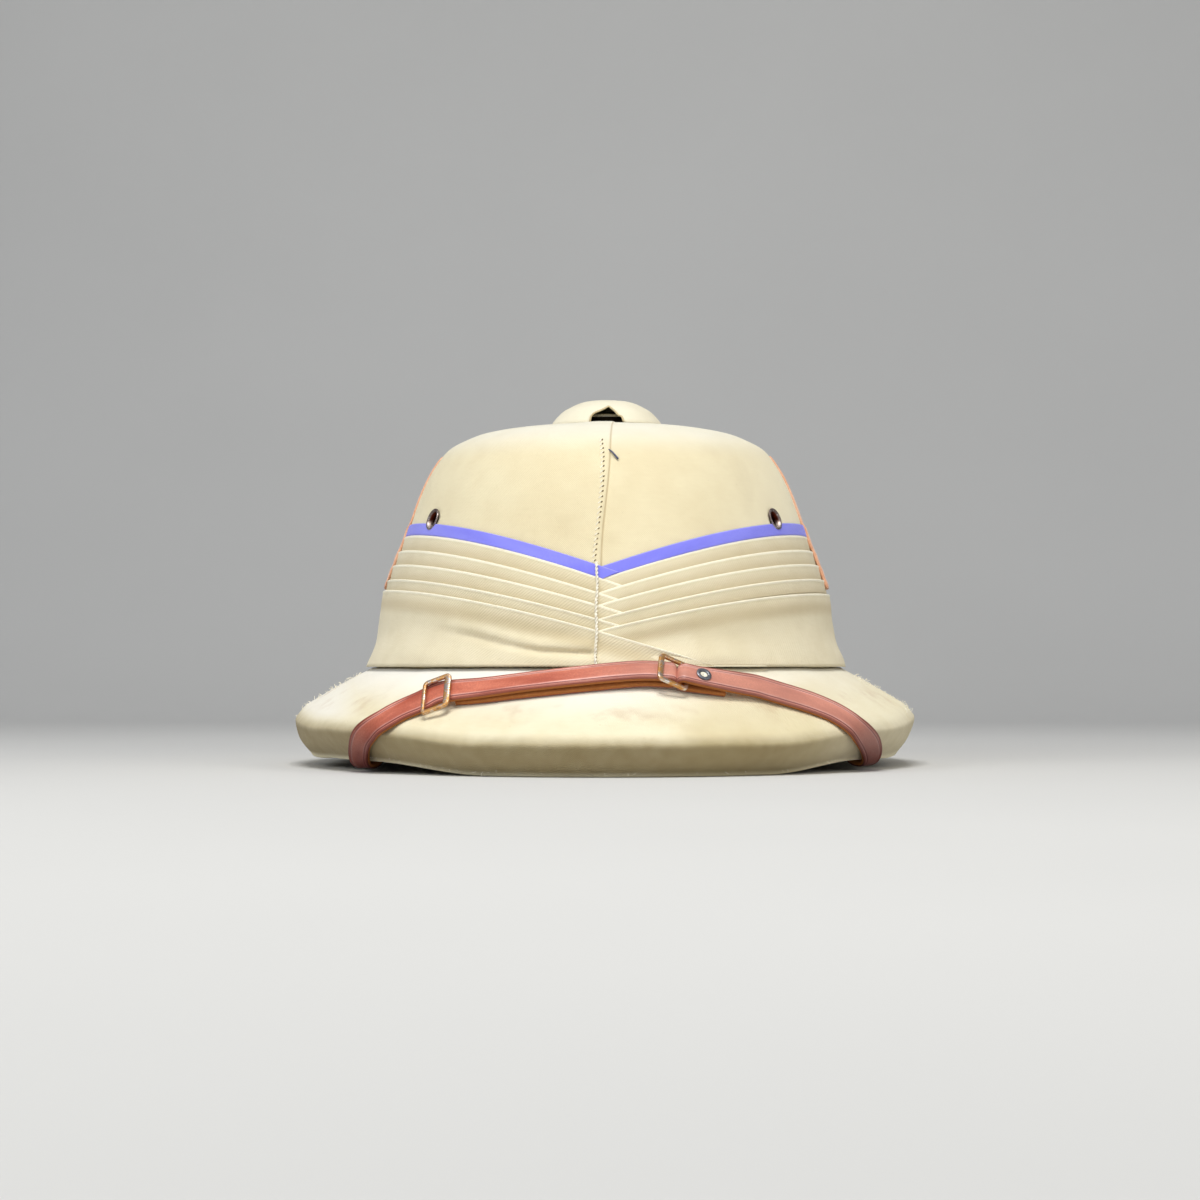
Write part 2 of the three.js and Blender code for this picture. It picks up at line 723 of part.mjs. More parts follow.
function makeStrapLeft() {
  const fold = foldPlaces(leftEnd, leftEnd.tangent, LEFT_FOLD_DROP);
  const band = strapBand([...leftRun.slice(0, -1), ...fold, ...underLayer(leftRun, STRAP_RETURN_ROWS)]);
  return cut(band, [strapHole(STUD_SHANK_RADIUS, STUD_SIDES, studLeft)]);
}

function makeStrapRight() {
  const fold = foldPlaces(rightStart, rightStart.tangent.clone().negate(), RIGHT_FOLD_DROP).reverse();
  const band = strapBand([...underLayer(rightRun, STRAP_TAIL_ROWS), ...fold, ...rightRun.slice(1)]);
  return cut(band, [
    strapHole(STUD_SHANK_RADIUS, STUD_SIDES, studRight),
    strapHole(GROMMET_PROFILE[1].radius, GROMMET_SIDES, grommetPlace),
  ]);
}

// Buckles, grommet and studs

function barOver(run, angleDegrees) {
  const { point, normal } = runPlaceAt(run, angleDegrees);
  return point.addScaledVector(normal, STRAP_THICKNESS / 2 + 2 * CLEARANCE + BUCKLE_THICKNESS / 2);
}

function rectangle(halfLong, halfHigh, path) {
  path.moveTo(-halfLong, -halfHigh);
  path.lineTo(halfLong, -halfHigh);
  path.lineTo(halfLong, halfHigh);
  path.lineTo(-halfLong, halfHigh);
  path.closePath();
  return path;
}

// A frame whose upright bars have their middles at two points, and whose face looks along a normal
function makeBuckle(leftBar, rightBar, facing) {
  const along = rightBar.clone().sub(leftBar);
  const halfWindow = (along.length() - BUCKLE_BAR) / 2;
  along.normalize();
  const across = new THREE.Vector3().crossVectors(facing, along).normalize();
  const normal = new THREE.Vector3().crossVectors(along, across);
  const halfHeight = BUCKLE_WINDOW_HEIGHT / 2;
  const frame = rectangle(halfWindow + BUCKLE_BAR, halfHeight + BUCKLE_BAR, new THREE.Shape());
  frame.holes.push(rectangle(halfWindow, halfHeight, new THREE.Path()));
  const geometry = new THREE.ExtrudeGeometry(frame, { depth: BUCKLE_THICKNESS, bevelEnabled: false });
  geometry.translate(0, 0, -BUCKLE_THICKNESS / 2);
  const matrix = new THREE.Matrix4().makeBasis(along, across, normal);
  matrix.setPosition(leftBar.clone().lerp(rightBar, 0.5));
  return positionsOnly(geometry.applyMatrix4(matrix));
}

function makeBuckleLeft() {
  const [first, second] = BUCKLE_LEFT_BARS;
  const { normal } = runPlaceAt(leftRun, (first + second) / 2);
  return makeBuckle(barOver(leftRun, first), barOver(leftRun, second), normal);
}

// The right buckle's far bar lies inside the right strap's fold
function makeBuckleRight() {
  const { point, normal, tangent } = rightStart;
  const foldMiddle = point.clone().addScaledVector(normal, -RIGHT_FOLD_DROP / 2);
  const farBar = foldMiddle.addScaledVector(tangent, FAR_BAR_INSET);
  return makeBuckle(barOver(leftRun, BUCKLE_RIGHT_BAR), farBar, normal);
}

function makeGrommet() {
  const seat = STRAP_THICKNESS / 2 + CLEARANCE;
  const point = grommetPlace.point.clone().addScaledVector(grommetPlace.normal, seat);
  return turnedAt(GROMMET_PROFILE, GROMMET_SIDES, false, { ...grommetPlace, point });
}

function makeStud(place) {
  const under = STRAP_THICKNESS / 2 + CLEARANCE;
  const profile = [
    { radius: 0, up: under + STUD_HEAD_THICKNESS },
    { radius: STUD_HEAD_RADIUS, up: under + STUD_HEAD_THICKNESS },
    { radius: STUD_HEAD_RADIUS, up: under },
    { radius: STUD_SHANK_RADIUS, up: under },
    { radius: STUD_SHANK_RADIUS, up: -STUD_TIP },
    { radius: 0, up: -STUD_TIP },
  ];
  return turnedAt(profile, STUD_SIDES, true, place);
}

// The helmet

addPiece('crown', makeCrown(), 0xe2d4a8, 0.9, 0);
addPiece('brim', skin(roundAngles().map(brimColumn), true), 0xe6d9ae, 0.9, 0);
addPiece('puggaree', skin(roundAngles().map(puggareeColumn), true), 0xd2c294, 0.9, 0);
addPiece('ribbon', makeRibbon(), 0x6a60c8, 0.7, 0);
addPiece('seam_cord', makeSeamCord(), 0xe4d8b4, 0.85, 0);
addPiece('vent_cap', makeVentCap(), 0xe8dcb4, 0.9, 0);
addPiece('vent_collar', makeVentCollar(), 0xb8b2a4, 0.5, 0.6);
for (const [name, sign] of [['left', -1], ['right', 1]]) {
  const eyelet = turnedAt(EYELET_PROFILE, EYELET_SIDES, false, eyeletPlace(sign));
  addPiece(`eyelet_${name}`, eyelet, 0x5c4634, 0.4, 0.9);
  addPiece(`side_flash_${name}`, makeFlash(sign), 0xc88a68, 0.9, 0);
}
addPiece('strap_left', makeStrapLeft(), 0x9a4a34, 0.5, 0);
addPiece('strap_right', makeStrapRight(), 0x9a4a34, 0.5, 0);
addPiece('buckle_left', makeBuckleLeft(), 0xb8924e, 0.35, 1);
addPiece('buckle_right', makeBuckleRight(), 0xb8924e, 0.35, 1);
addPiece('strap_grommet', makeGrommet(), 0x8c8c8c, 0.4, 0.9);
addPiece('strap_stud_left', makeStud(studLeft), 0x8a6a3a, 0.45, 0.9);
addPiece('strap_stud_right', makeStud(studRight), 0x8a6a3a, 0.45, 0.9);

export default helmet;
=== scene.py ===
# %% [markdown]
# # A cloth-covered sun helmet
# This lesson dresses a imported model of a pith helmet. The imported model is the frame: it fixes where every
# piece sits and how large it is. Each step below makes one piece of the helmet, or one finish, and prints
# what came out. Lengths are written in millimetres, as on a maker's drawing, and turned into metres once.

# %% Load the frame
import bpy
import bmesh
import math
import numpy as np
from mathutils import Matrix, Vector, noise


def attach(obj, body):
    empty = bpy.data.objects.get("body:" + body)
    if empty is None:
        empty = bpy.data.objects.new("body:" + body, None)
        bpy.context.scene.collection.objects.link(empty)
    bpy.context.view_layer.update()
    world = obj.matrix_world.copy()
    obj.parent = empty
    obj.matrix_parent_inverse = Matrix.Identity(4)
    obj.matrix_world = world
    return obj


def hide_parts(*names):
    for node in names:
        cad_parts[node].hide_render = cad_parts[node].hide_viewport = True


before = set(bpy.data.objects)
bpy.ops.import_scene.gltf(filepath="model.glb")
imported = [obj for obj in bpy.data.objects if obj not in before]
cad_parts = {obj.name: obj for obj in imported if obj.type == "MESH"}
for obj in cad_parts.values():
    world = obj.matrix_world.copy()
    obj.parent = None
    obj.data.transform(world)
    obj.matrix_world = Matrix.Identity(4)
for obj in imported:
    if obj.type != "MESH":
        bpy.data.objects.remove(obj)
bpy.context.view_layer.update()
scene = bpy.context.scene
MM = 0.001

# %% [markdown]
# ## Camera, floor and light
# The helmet is seen from the front, almost level with its brim, so a long lens stands 1.2 m away at brim
# height and 2 degrees to the right. The lens shift frames the helmet without tilting the camera, which
# keeps the upright lines upright. A floor that bends up into a backdrop has no horizon line, so nothing
# competes with the cloth. One strong lamp above the front gives the bright top and soft shade under the
# brim, and two weaker ones open the shadows.

# %% Camera
CAMERA_DISTANCE = 1200
CAMERA_HEIGHT = 43
CAMERA_TURN = math.radians(2)


def add_object(name, data):
    """An object in the scene, at the origin."""
    made = bpy.data.objects.new(name, data)
    scene.collection.objects.link(made)
    return made


camera = add_object("camera", bpy.data.cameras.new("camera"))
camera.location = Vector((
    CAMERA_DISTANCE * math.sin(CAMERA_TURN), -CAMERA_DISTANCE * math.cos(CAMERA_TURN), CAMERA_HEIGHT)) * MM
camera.rotation_euler = (math.pi / 2, 0, CAMERA_TURN)
camera.data.lens = 79.1
camera.data.sensor_width = 36
camera.data.shift_x = -7 / 1200
camera.data.shift_y = 68 / 1200
camera.data.clip_start = 0.01
scene.camera = camera
print("camera at", [round(v, 3) for v in camera.location])

# %% Floor and backdrop
FLOOR_DROP = 0.1
FLOOR_SIDE = 3200
FLOOR_FRONT = -2600
BEND_START = 900
BEND_RADIUS = 700
floor_rows = [(FLOOR_FRONT, 0), (BEND_START, 0)]
floor_rows += [
    (BEND_START + BEND_RADIUS * math.sin(t), BEND_RADIUS - BEND_RADIUS * math.cos(t))
    for t in np.linspace(0.08, math.pi / 2, 16)]
floor_rows += [(BEND_START + BEND_RADIUS, FLOOR_SIDE)]
floor_points = [
    Vector((x, y, z - FLOOR_DROP)) * MM for y, z in floor_rows for x in (-FLOOR_SIDE, FLOOR_SIDE)]
floor_faces = [(2 * i, 2 * i + 1, 2 * i + 3, 2 * i + 2) for i in range(len(floor_rows) - 1)]
floor_mesh = bpy.data.meshes.new("studio_floor")
floor_mesh.from_pydata(floor_points, [], floor_faces)
floor_mesh.polygons.foreach_set("use_smooth", [True] * len(floor_faces))
studio_floor = add_object("studio_floor", floor_mesh)
print("floor faces:", len(floor_faces))

# %% Lamps
LAMP_AIM = Vector((0, 0, 0.06))


def add_lamp(name, place, size, watts, colour):
    data = bpy.data.lights.new(name, "AREA")
    data.shape = "RECTANGLE"
    data.size, data.size_y = size
    data.energy = watts
    data.color = colour
    lamp = add_object(name, data)
    lamp.location = Vector(place)
    lamp.rotation_euler = (LAMP_AIM - lamp.location).to_track_quat("-Z", "Y").to_euler()


add_lamp("lamp_top", (-0.06, -0.75, 1.45), (0.8, 0.6), 20, (1.0, 0.985, 0.95))
add_lamp("lamp_left", (-1.3, -1.2, 0.9), (0.9, 0.9), 8, (0.95, 0.975, 1.0))
add_lamp("lamp_right", (1.4, -1.0, 0.7), (0.9, 0.9), 6.8, (1.0, 0.96, 0.9))
world = bpy.data.worlds.new("studio_air")
scene.world = world
world.use_nodes = True
air = world.node_tree.nodes["Background"].inputs
air["Color"].default_value = (0.86, 0.9, 1.0, 1)
air["Strength"].default_value = 0.25
scene.view_settings.view_transform = "Standard"

# %% [markdown]
# ## Writing shaders as sums
# A material is a web of nodes. Drawing it by hand is slow to read back, so one small class stands for a
# socket and takes ordinary arithmetic: writing `1 - mask * 0.3` adds the Math nodes for it. Colours never
# go through Math nodes, because those turn a colour grey, so they have a blend of their own.

# %% A socket that can be added and multiplied


class Wire:
    """One output socket of a material's tree."""

    def __init__(self, tree, socket):
        self.tree = tree
        self.socket = socket

    def node(self, kind, settings=None, values=None, out=0):
        made = self.tree.nodes.new(kind)
        for name, value in (settings or {}).items():
            setattr(made, name, value)
        for key, value in (values or {}).items():
            if isinstance(value, Wire):
                self.tree.links.new(value.socket, made.inputs[key])
            else:
                made.inputs[key].default_value = value
        return Wire(self.tree, made.outputs[out])

    def math(self, operation, first, second=0.0):
        return self.node("ShaderNodeMath", {"operation": operation}, {0: first, 1: second})

    def __add__(self, other):
        return self.math("ADD", self, other)

    def __sub__(self, other):
        return self.math("SUBTRACT", self, other)

    def __rsub__(self, other):
        return self.math("SUBTRACT", other, self)

    def __mul__(self, other):
        return self.math("MULTIPLY", self, other)

    def step(self, low, high):
        """0 below low, 1 above high, and a smooth rise between them."""
        return self.node(
            "ShaderNodeMapRange", {"interpolation_type": "SMOOTHSTEP"},
            {"Value": self, "From Min": low, "From Max": high})

    def wave(self, turns):
        """A sine of this value, from 0 to 1, with so many turns for each unit."""
        return self.math("SINE", self * (turns * 2 * math.pi)) * 0.5 + 0.5

    def blend(self, low, high):
        """A colour between two, by this value."""
        return self.node("ShaderNodeMix", {"data_type": "RGBA"}, {0: self, 6: low, 7: high}, out=2)


print("socket class ready")

# %% [markdown]
# Every finish starts from the same few readings: the place on the helmet in metres, the piece's own map,
# and noise at a size given in millimetres. The map of each cloth piece runs in millimetres too, so a weave
# has its true pitch wherever it lies.

# %% Starting a finish


class Finish:
    """A material with the readings that the finishes below share."""

    def __init__(self, name):
        self.material = bpy.data.materials.new(name)
        self.material.use_nodes = True
        self.tree = self.material.node_tree
        self.shader = self.tree.nodes["Principled BSDF"]
        root = Wire(self.tree, None)
        self.place = root.node("ShaderNodeTexCoord", out=3)
        self.map = root.node("ShaderNodeUVMap", {"uv_map": "cloth"})
        self.along, self.across = self.parts(self.map)[:2]
        self.x, self.y, self.z = self.parts(self.place)

    def parts(self, wire):
        split = wire.node("ShaderNodeSeparateXYZ", values={0: wire}).socket.node
        return [Wire(self.tree, socket) for socket in split.outputs]

    def noise(self, size_mm, detail=2.0, source=None, stretch=(1, 1, 1)):
        """Noise whose features are about so many millimetres across."""
        source = source or self.place
        unit = 1.0 if source is self.map else 1000.0
        moved = source.node(
            "ShaderNodeMapping", values={0: source, 3: tuple(unit * s / size_mm for s in stretch)})
        return source.node("ShaderNodeTexNoise", values={"Vector": moved, "Scale": 1.0, "Detail": detail})

    def set(self, **values):
        """Links or sets inputs of the shader, whose names are written with underscores."""
        for name, value in values.items():
            socket = self.shader.inputs[name.replace("_", " ")]
            if isinstance(value, Wire):
                self.tree.links.new(value.socket, socket)
            else:
                socket.default_value = value

    def colour(self):
        """The colour that is set so far, for wear to be laid over it."""
        return Wire(self.tree, self.shader.inputs["Base Color"].links[0].from_socket)

    def bump(self, height, depth_mm, under=None):
        """A normal from heights, of so many millimetres, over another normal if there is one."""
        values = {"Height": height, "Strength": 1.0, "Distance": depth_mm * MM}
        if under:
            values["Normal"] = under
        return height.node("ShaderNodeBump", values=values)


print("finish class ready")

# %% Colours, and the floor's finish


def rgb(red, green, blue):
    """A screen colour from 0 to 255, as the linear light that Blender works in."""
    share = np.array([red, green, blue]) / 255
    linear = np.where(share <= 0.04045, share / 12.92, ((share + 0.055) / 1.055) ** 2.4)
    return (*[float(v) for v in linear], 1.0)


floor_finish = Finish("floor_paper")
floor_finish.set(
    Base_Color=floor_finish.noise(400).blend(rgb(206, 206, 204), rgb(214, 214, 212)), Roughness=0.85)
studio_floor.data.materials.append(floor_finish.material)
print("floor finish nodes:", len(floor_finish.tree.nodes))

# %% [markdown]
# ## The dome's rule
# The dome is an oval that changes size with height. A table gives its half width at each height, a smooth
# curve runs through the table, and everything that lies on the dome is found by an angle, a height and a
# distance off the wall. Angle 0 is the front, and the wearer's left, which is the right of the picture, is
# positive.

# %% Where things lie on the dome
CROWN_LONGER = 1.18
CROWN_FORWARD = 3.5
CROWN_WALL = 5
CROWN_PROFILE = [
    (105.2, 31), (104, 43), (100.2, 56), (98.2, 70), (95.6, 82), (92.2, 94), (88.6, 106), (84.6, 118),
    (80.2, 128), (75.4, 136), (71, 141), (63.6, 145), (56.5, 147.5), (42, 150), (26, 151.6), (0, 152.6)]


def smooth_run(points, steps):
    """A smooth curve through points, with so many steps between each two of them."""
    points = np.asarray(points, float)
    last = len(points) - 1
    run = []
    for i in range(last):
        a, b, c, d = points[max(i - 1, 0)], points[i], points[i + 1], points[min(i + 2, last)]
        for t in np.linspace(0, 1, steps, endpoint=False):
            run.append(0.5 * (2 * b + (c - a) * t + (2 * a - 5 * b + 4 * c - d) * t * t
                              + (3 * b - a - 3 * c + d) * t ** 3))
    run.append(points[-1])
    return np.array(run)


crown_trace = smooth_run(CROWN_PROFILE, 16)


def crown_half(z):
    return float(np.interp(z, crown_trace[:, 1], crown_trace[:, 0]))


def on_oval(angle, half, z):
    return Vector((
        half * math.sin(angle), -half * CROWN_LONGER * math.cos(angle) - CROWN_FORWARD, z)) * MM


def off_crown(angle, z, off):
    return on_oval(angle, crown_half(z) + off, z)


def ease(low, high, value):
    share = min(1, max(0, (value - low) / (high - low)))
    return share * share * (3 - 2 * share)


print("dome half width at the band:", round(crown_half(60), 1), "mm")

# %% Helpers that skin a grid of points


def add_mesh(name, points, faces, maps=None):
    """A smooth mesh object. maps gives one map place for each point of each face, in millimetres."""
    mesh = bpy.data.meshes.new(name)
    mesh.from_pydata(points, [], faces)
    if maps is not None:
        layer = mesh.uv_layers.new(name="cloth")
        layer.data.foreach_set("uv", np.asarray(maps, np.float32).ravel())
    mesh.polygons.foreach_set("use_smooth", [True] * len(mesh.polygons))
    mesh.update()
    return add_object(name, mesh)


def skin(columns, map_columns, ring=False):
    """Faces and maps over columns of points, each of which closes on itself. ring joins the last column to
    the first. Without it, both open ends are capped."""
    count = len(columns[0])
    points = [p for column in columns for p in column]
    faces, maps = [], []
    for i in range(len(columns) if ring else len(columns) - 1):
        after = (i + 1) % len(columns)
        near, far = map_columns[i], map_columns[i + 1]
        for j in range(count):
            k = (j + 1) % count
            faces.append((i * count + j, after * count + j, after * count + k, i * count + k))
            maps += [near[j], far[j], far[j + 1], near[j + 1]]
    if not ring:
        final = (len(columns) - 1) * count
        faces += [tuple(range(count)), tuple(final + j for j in reversed(range(count)))]
        maps += map_columns[0][:count] + map_columns[-1][:count][::-1]
    return points, faces, maps


def face_out(piece, merge_mm=0.002):
    """Merges points that coincide and turns the faces of a closed shape outwards."""
    work = bmesh.new()
    work.from_mesh(piece.data)
    bmesh.ops.remove_doubles(work, verts=work.verts, dist=merge_mm * MM)
    bmesh.ops.recalc_face_normals(work, faces=work.faces)
    if work.calc_volume(signed=True) < 0:
        bmesh.ops.reverse_faces(work, faces=work.faces)
    work.to_mesh(piece.data)
    work.free()


def settle(piece, finish, slot, *nodes):
    """Gives a piece its finish and puts it on the helmet in place of the frame's nodes."""
    if finish:
        piece.data.materials.clear()
        piece.data.materials.append(finish.material)
    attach(piece, "root")
    if nodes:
        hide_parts(*nodes)
    triangles = sum(len(p.vertices) - 2 for p in piece.data.polygons)
    print(piece.name, "triangles:", triangles)


print("skinning helpers ready")

# %% [markdown]
# ## The dome
# The dome is pith under a tight cotton cover. The cover has one lapped seam down the front: the left
# panel's edge is turned in, laid over the right panel and slip stitched. The dome could be a revolved
# curve, but a grid of columns lets the columns crowd at the seam, so the lapped edge is a real step of half
# a millimetre. Slow noise of a few tenths of a millimetre keeps the cloth from looking like a moulded
# shell. The head hollow, both eyelet holes and the ventilator's hole are open.

# %% Dome mesh
LAP_LOW = (1.45, 88)
LAP_HIGH = (4.45, 135)
LAP_RISE = 0.55
EYELET_ANGLES = {"left": math.radians(-55.3), "right": math.radians(57)}
EYELET_Z = 107
CROWN_FOOT_Z = CROWN_PROFILE[0][1]
CROWN_TOP_Z = CROWN_PROFILE[-1][1]
front_fan = [math.radians(a) for a in np.arange(-6, 6.01, 0.3)]
round_fan = [math.radians(a) for a in np.linspace(8, 352, 150)]
crown_angles = front_fan + round_fan


def lapped(point):
    """How far the cover stands proud at the front seam, which wanders aside towards the top."""
    x, y, z = point / MM
    edge = LAP_LOW[0] + (LAP_HIGH[0] - LAP_LOW[0]) * ease(LAP_LOW[1], LAP_HIGH[1], z)
    front = ease(-24, -30, y)
    return LAP_RISE * front * (ease(-13, -1, x) if x < 1 else 1 - ease(edge - 0.35, edge + 0.15, x))


def uneven(point, size_mm, depth_mm):
    return depth_mm * noise.noise(point / (size_mm * MM))


outer_rows = smooth_run(CROWN_PROFILE, 5)[:-1]
inner_rows = []
for i in range(0, len(outer_rows), 3):
    ahead = outer_rows[min(i + 1, len(outer_rows) - 1)] - outer_rows[max(i - 1, 0)]
    ahead = ahead / np.linalg.norm(ahead)
    inner_rows.append(outer_rows[i] + CROWN_WALL * np.array([-ahead[1], ahead[0]]))
inner_rows[0][1] = CROWN_FOOT_Z
inner_rows = [row for row in inner_rows if row[0] > 1.5]


def crown_column(angle):
    column = []
    for half, z in outer_rows:
        base = on_oval(angle, half, z)
        off = lapped(base) + uneven(base, 34, 0.35) + uneven(base, 9, 0.08)
        lift = off * ease(60, 30, half)
        column.append(on_oval(angle, half + off * ease(20, 60, half), z + lift))
    column.append(on_oval(angle, 0, CROWN_TOP_Z))
    column.append(on_oval(angle, 0, CROWN_TOP_Z - CROWN_WALL))
    column += [on_oval(angle, half, z) for half, z in reversed(inner_rows)]
    return column


crown_columns = [crown_column(angle) for angle in crown_angles]
side_column = crown_columns[80]
row_length = np.concatenate([[0], np.cumsum([
    (b - a).length / MM for a, b in zip(side_column, side_column[1:] + side_column[:1])])])
CROWN_AROUND = 90
crown_maps = [
    [(CROWN_AROUND * angle, length) for length in row_length]
    for angle in crown_angles + [crown_angles[0] + 2 * math.pi]]
crown = add_mesh("crown_cover", *skin(crown_columns, crown_maps, ring=True))
face_out(crown)
print("dome columns:", len(crown_columns), "rows:", len(crown_columns[0]))

# %% Drill the dome
EYELET_HOLE = 3.8
VENT_HOLE = 8
DRILL_REACH = 14


def place_on_crown(angle, z, off):
    """A point off the dome with the direction along it and the direction out of it."""
    point = off_crown(angle, z, 0)
    along = (off_crown(angle + 0.01, z, 0) - point).normalized()
    upward = (off_crown(angle, z + 1, 0) - point).normalized()
    outward = along.cross(upward).normalized()
    return point + outward * off * MM, along, outward


def cut_away(piece, cutter):
    """Takes one closed shape out of another, and removes the cutter."""
    modifier = piece.modifiers.new("cut", "BOOLEAN")
    modifier.operation = "DIFFERENCE"
    modifier.object = cutter
    modifier.solver = "EXACT"
    depsgraph = bpy.context.evaluated_depsgraph_get()
    result = bpy.data.meshes.new_from_object(piece.evaluated_get(depsgraph))
    piece.modifiers.remove(modifier)
    piece.data = result
    bpy.data.objects.remove(cutter)


def drill(piece, centre, axis, radius_mm, reach_mm):
    """Cuts a round hole through a closed piece."""
    work = bmesh.new()
    turn = axis.to_track_quat("Z", "Y").to_matrix().to_4x4()
    bmesh.ops.create_cone(
        work, cap_ends=True, segments=40, radius1=radius_mm * MM, radius2=radius_mm * MM,
        depth=2 * reach_mm * MM, matrix=Matrix.Translation(centre) @ turn)
    data = bpy.data.meshes.new("drill")
    work.to_mesh(data)
    work.free()
    cut_away(piece, add_object("drill", data))


def drill_eyelet(piece, side, reach_mm):
    point, _, outward = place_on_crown(EYELET_ANGLES[side], EYELET_Z, 0)
    drill(piece, point, outward, EYELET_HOLE, reach_mm)


for side in EYELET_ANGLES:
    drill_eyelet(crown, side, DRILL_REACH)
drill(crown, Vector((0, -CROWN_FORWARD, 150)) * MM, Vector((0, 0, 1)), VENT_HOLE, DRILL_REACH)
print("holes drilled: 3")

# %% [markdown]
# ## Cotton drill
# The cover is undyed cotton drill, pale khaki, a little worn and dusty. Seen close, its ribs run on a slant
# about 0.6 mm apart, and the yarns are uneven. A picture of cloth would repeat and blur, so two slanted
# waves, broken by noise, give the ribs to the bump. Wide noise makes warm and cool patches, fine noise
# makes slubs, and a few dots are soiled. The same function makes the cloth of the cap, the brim and the
# band.

# %% Cloth finish, first for the dome
# A wave of along plus across has this many turns for each turn that is counted straight across its ribs
SLANTED = 0.707


def cotton(name, light, shade, soil, rib_mm=0.62, rib_depth=0.09, soil_amount=0.5):
    """Cotton drill with ribs so far apart and so deep, in millimetres."""
    finish = Finish(name)
    ribs = (finish.along + finish.across + finish.noise(7, source=finish.map) * 0.5).wave(SLANTED / rib_mm)
    yarns = (finish.along - finish.across).wave(SLANTED / (rib_mm * 0.55))
    slub = finish.noise(1.4, 3, finish.map, (0.25, 1, 1))
    weave = ribs * 0.7 + yarns * 0.2 + slub * 0.7
    patches = finish.noise(46, 3) * 0.65 + finish.noise(11, 2) * 0.35
    tone = patches.step(0.32, 0.68) * 0.5 + slub * 0.3 + ribs * 0.2
    colour = tone.step(0.05, 1.0).blend(shade, light)
    grime = finish.noise(28, 5).step(0.56, 0.78) * soil_amount
    specks = finish.noise(1.9, 1).step(0.74, 0.79) * (soil_amount * 0.8)
    finish.set(
        Base_Color=specks.blend(grime.blend(colour, soil), soil),
        Roughness=slub * 0.12 + 0.82,
        Normal=finish.bump(patches, 0.5, finish.bump(weave, rib_depth)),
        Sheen_Weight=0.15,
        Sheen_Roughness=0.6,
        Specular_IOR_Level=0.2,
    )
    return finish


def mark_lap(finish):
    """A thin painted shadow along the lapped edge, and painted light that makes the top and the sides paler.
    """
    cloth = finish.colour()
    rise = finish.z.step(LAP_LOW[1] * MM, LAP_HIGH[1] * MM)
    aside = finish.x - rise * ((LAP_HIGH[0] - LAP_LOW[0]) * MM) - LAP_LOW[0] * MM
    # Painted shadow: a thin dark line just past the lapped edge, on the front.
    line = aside.step(-0.2 * MM, 0) * (1 - aside.step(0.35 * MM, 0.8 * MM))
    front = 1 - finish.y.step(-0.034, -0.026)
    # Painted light: the top of the dome is made paler.
    painted_top_light = finish.z.step(0.132, 0.147) * (finish.noise(12, 3) * 0.3 + 0.5)
    cloth = painted_top_light.blend(cloth, rgb(240, 239, 227))
    # Painted light: the sides of the dome are made paler, the picture's right side more.
    sides = finish.x.step(0.045, 0.085) * 0.6 + (1 - finish.x.step(-0.092, -0.07)) * 0.3
    cloth = sides.blend(cloth, rgb(253, 244, 212))
    finish.set(Base_Color=(line * front * 0.5).blend(cloth, rgb(176, 150, 104)))


crown_finish = cotton(
    "crown_cloth", rgb(236, 225, 189), rgb(226, 212, 174), rgb(196, 178, 138), soil_amount=0.25)
mark_lap(crown_finish)
settle(crown, crown_finish, "crown_cloth", "crown")

# %% [markdown]
# ## The brim
# The brim is a thick ring of pith that slopes down and ends in a turned-down edge, covered in the same
# cotton drill. It lies flat at the front and back and arches over each side, and at the tip of each side
# its edge is fuller. It is a main piece that follows a rule: one section, drawn once, that is carried round
# the oval while its reach, its lowest height and its fullness change.

# %% Brim section
BRIM_HALF_WIDTH = 138.5
BRIM_HALF_LENGTH = 172
BRIM_TOP_Z = 43.2
BRIM_UNDER_Z = 31
EDGE_DEPTH = 15.5
EDGE_ROUND = 4
EDGE_TUCK = 9
EDGE_BEVEL = 1.4
EDGE_LAND = 5
SIDE_ARCH = 9
STRAP_RELIEF = 4.4
# How much fuller the edge is at a side's tip, how much it swells between, and how far the tip stands out
LEFT_TIP = (4, 1.5, 1.0)
RIGHT_TIP = (2.2, 0.9, 0)
TIP_DROP = 3
SECTION_STEPS = 6
BRIM_COLUMNS = 240


def edge_rise(x, y):
    """How far the lower edge lifts off the ground."""
    relief = STRAP_RELIEF * (ease(45, 98, -x) if x < 0 else ease(75, 115, x))
    arch = 0.5 * (1 + math.cos(math.pi * min(1, abs(y) / 90)))
    return relief + (SIDE_ARCH - STRAP_RELIEF) * arch


def brim_plane(angle):
    """Where the section starts on the dome, how far it reaches and how low it comes at an angle."""
    inner = on_oval(angle, crown_half(BRIM_UNDER_Z) + 0.35, 0) / MM
    outer = Vector((BRIM_HALF_WIDTH * math.sin(angle), -BRIM_HALF_LENGTH * math.cos(angle), 0))
    out = outer - inner
    reach = out.length
    lower = edge_rise(outer.x, outer.y)

    def at(along, z):
        spot = inner + out * (along / reach)
        return Vector((spot.x, spot.y, z))

    return reach, lower, lower + EDGE_DEPTH, at


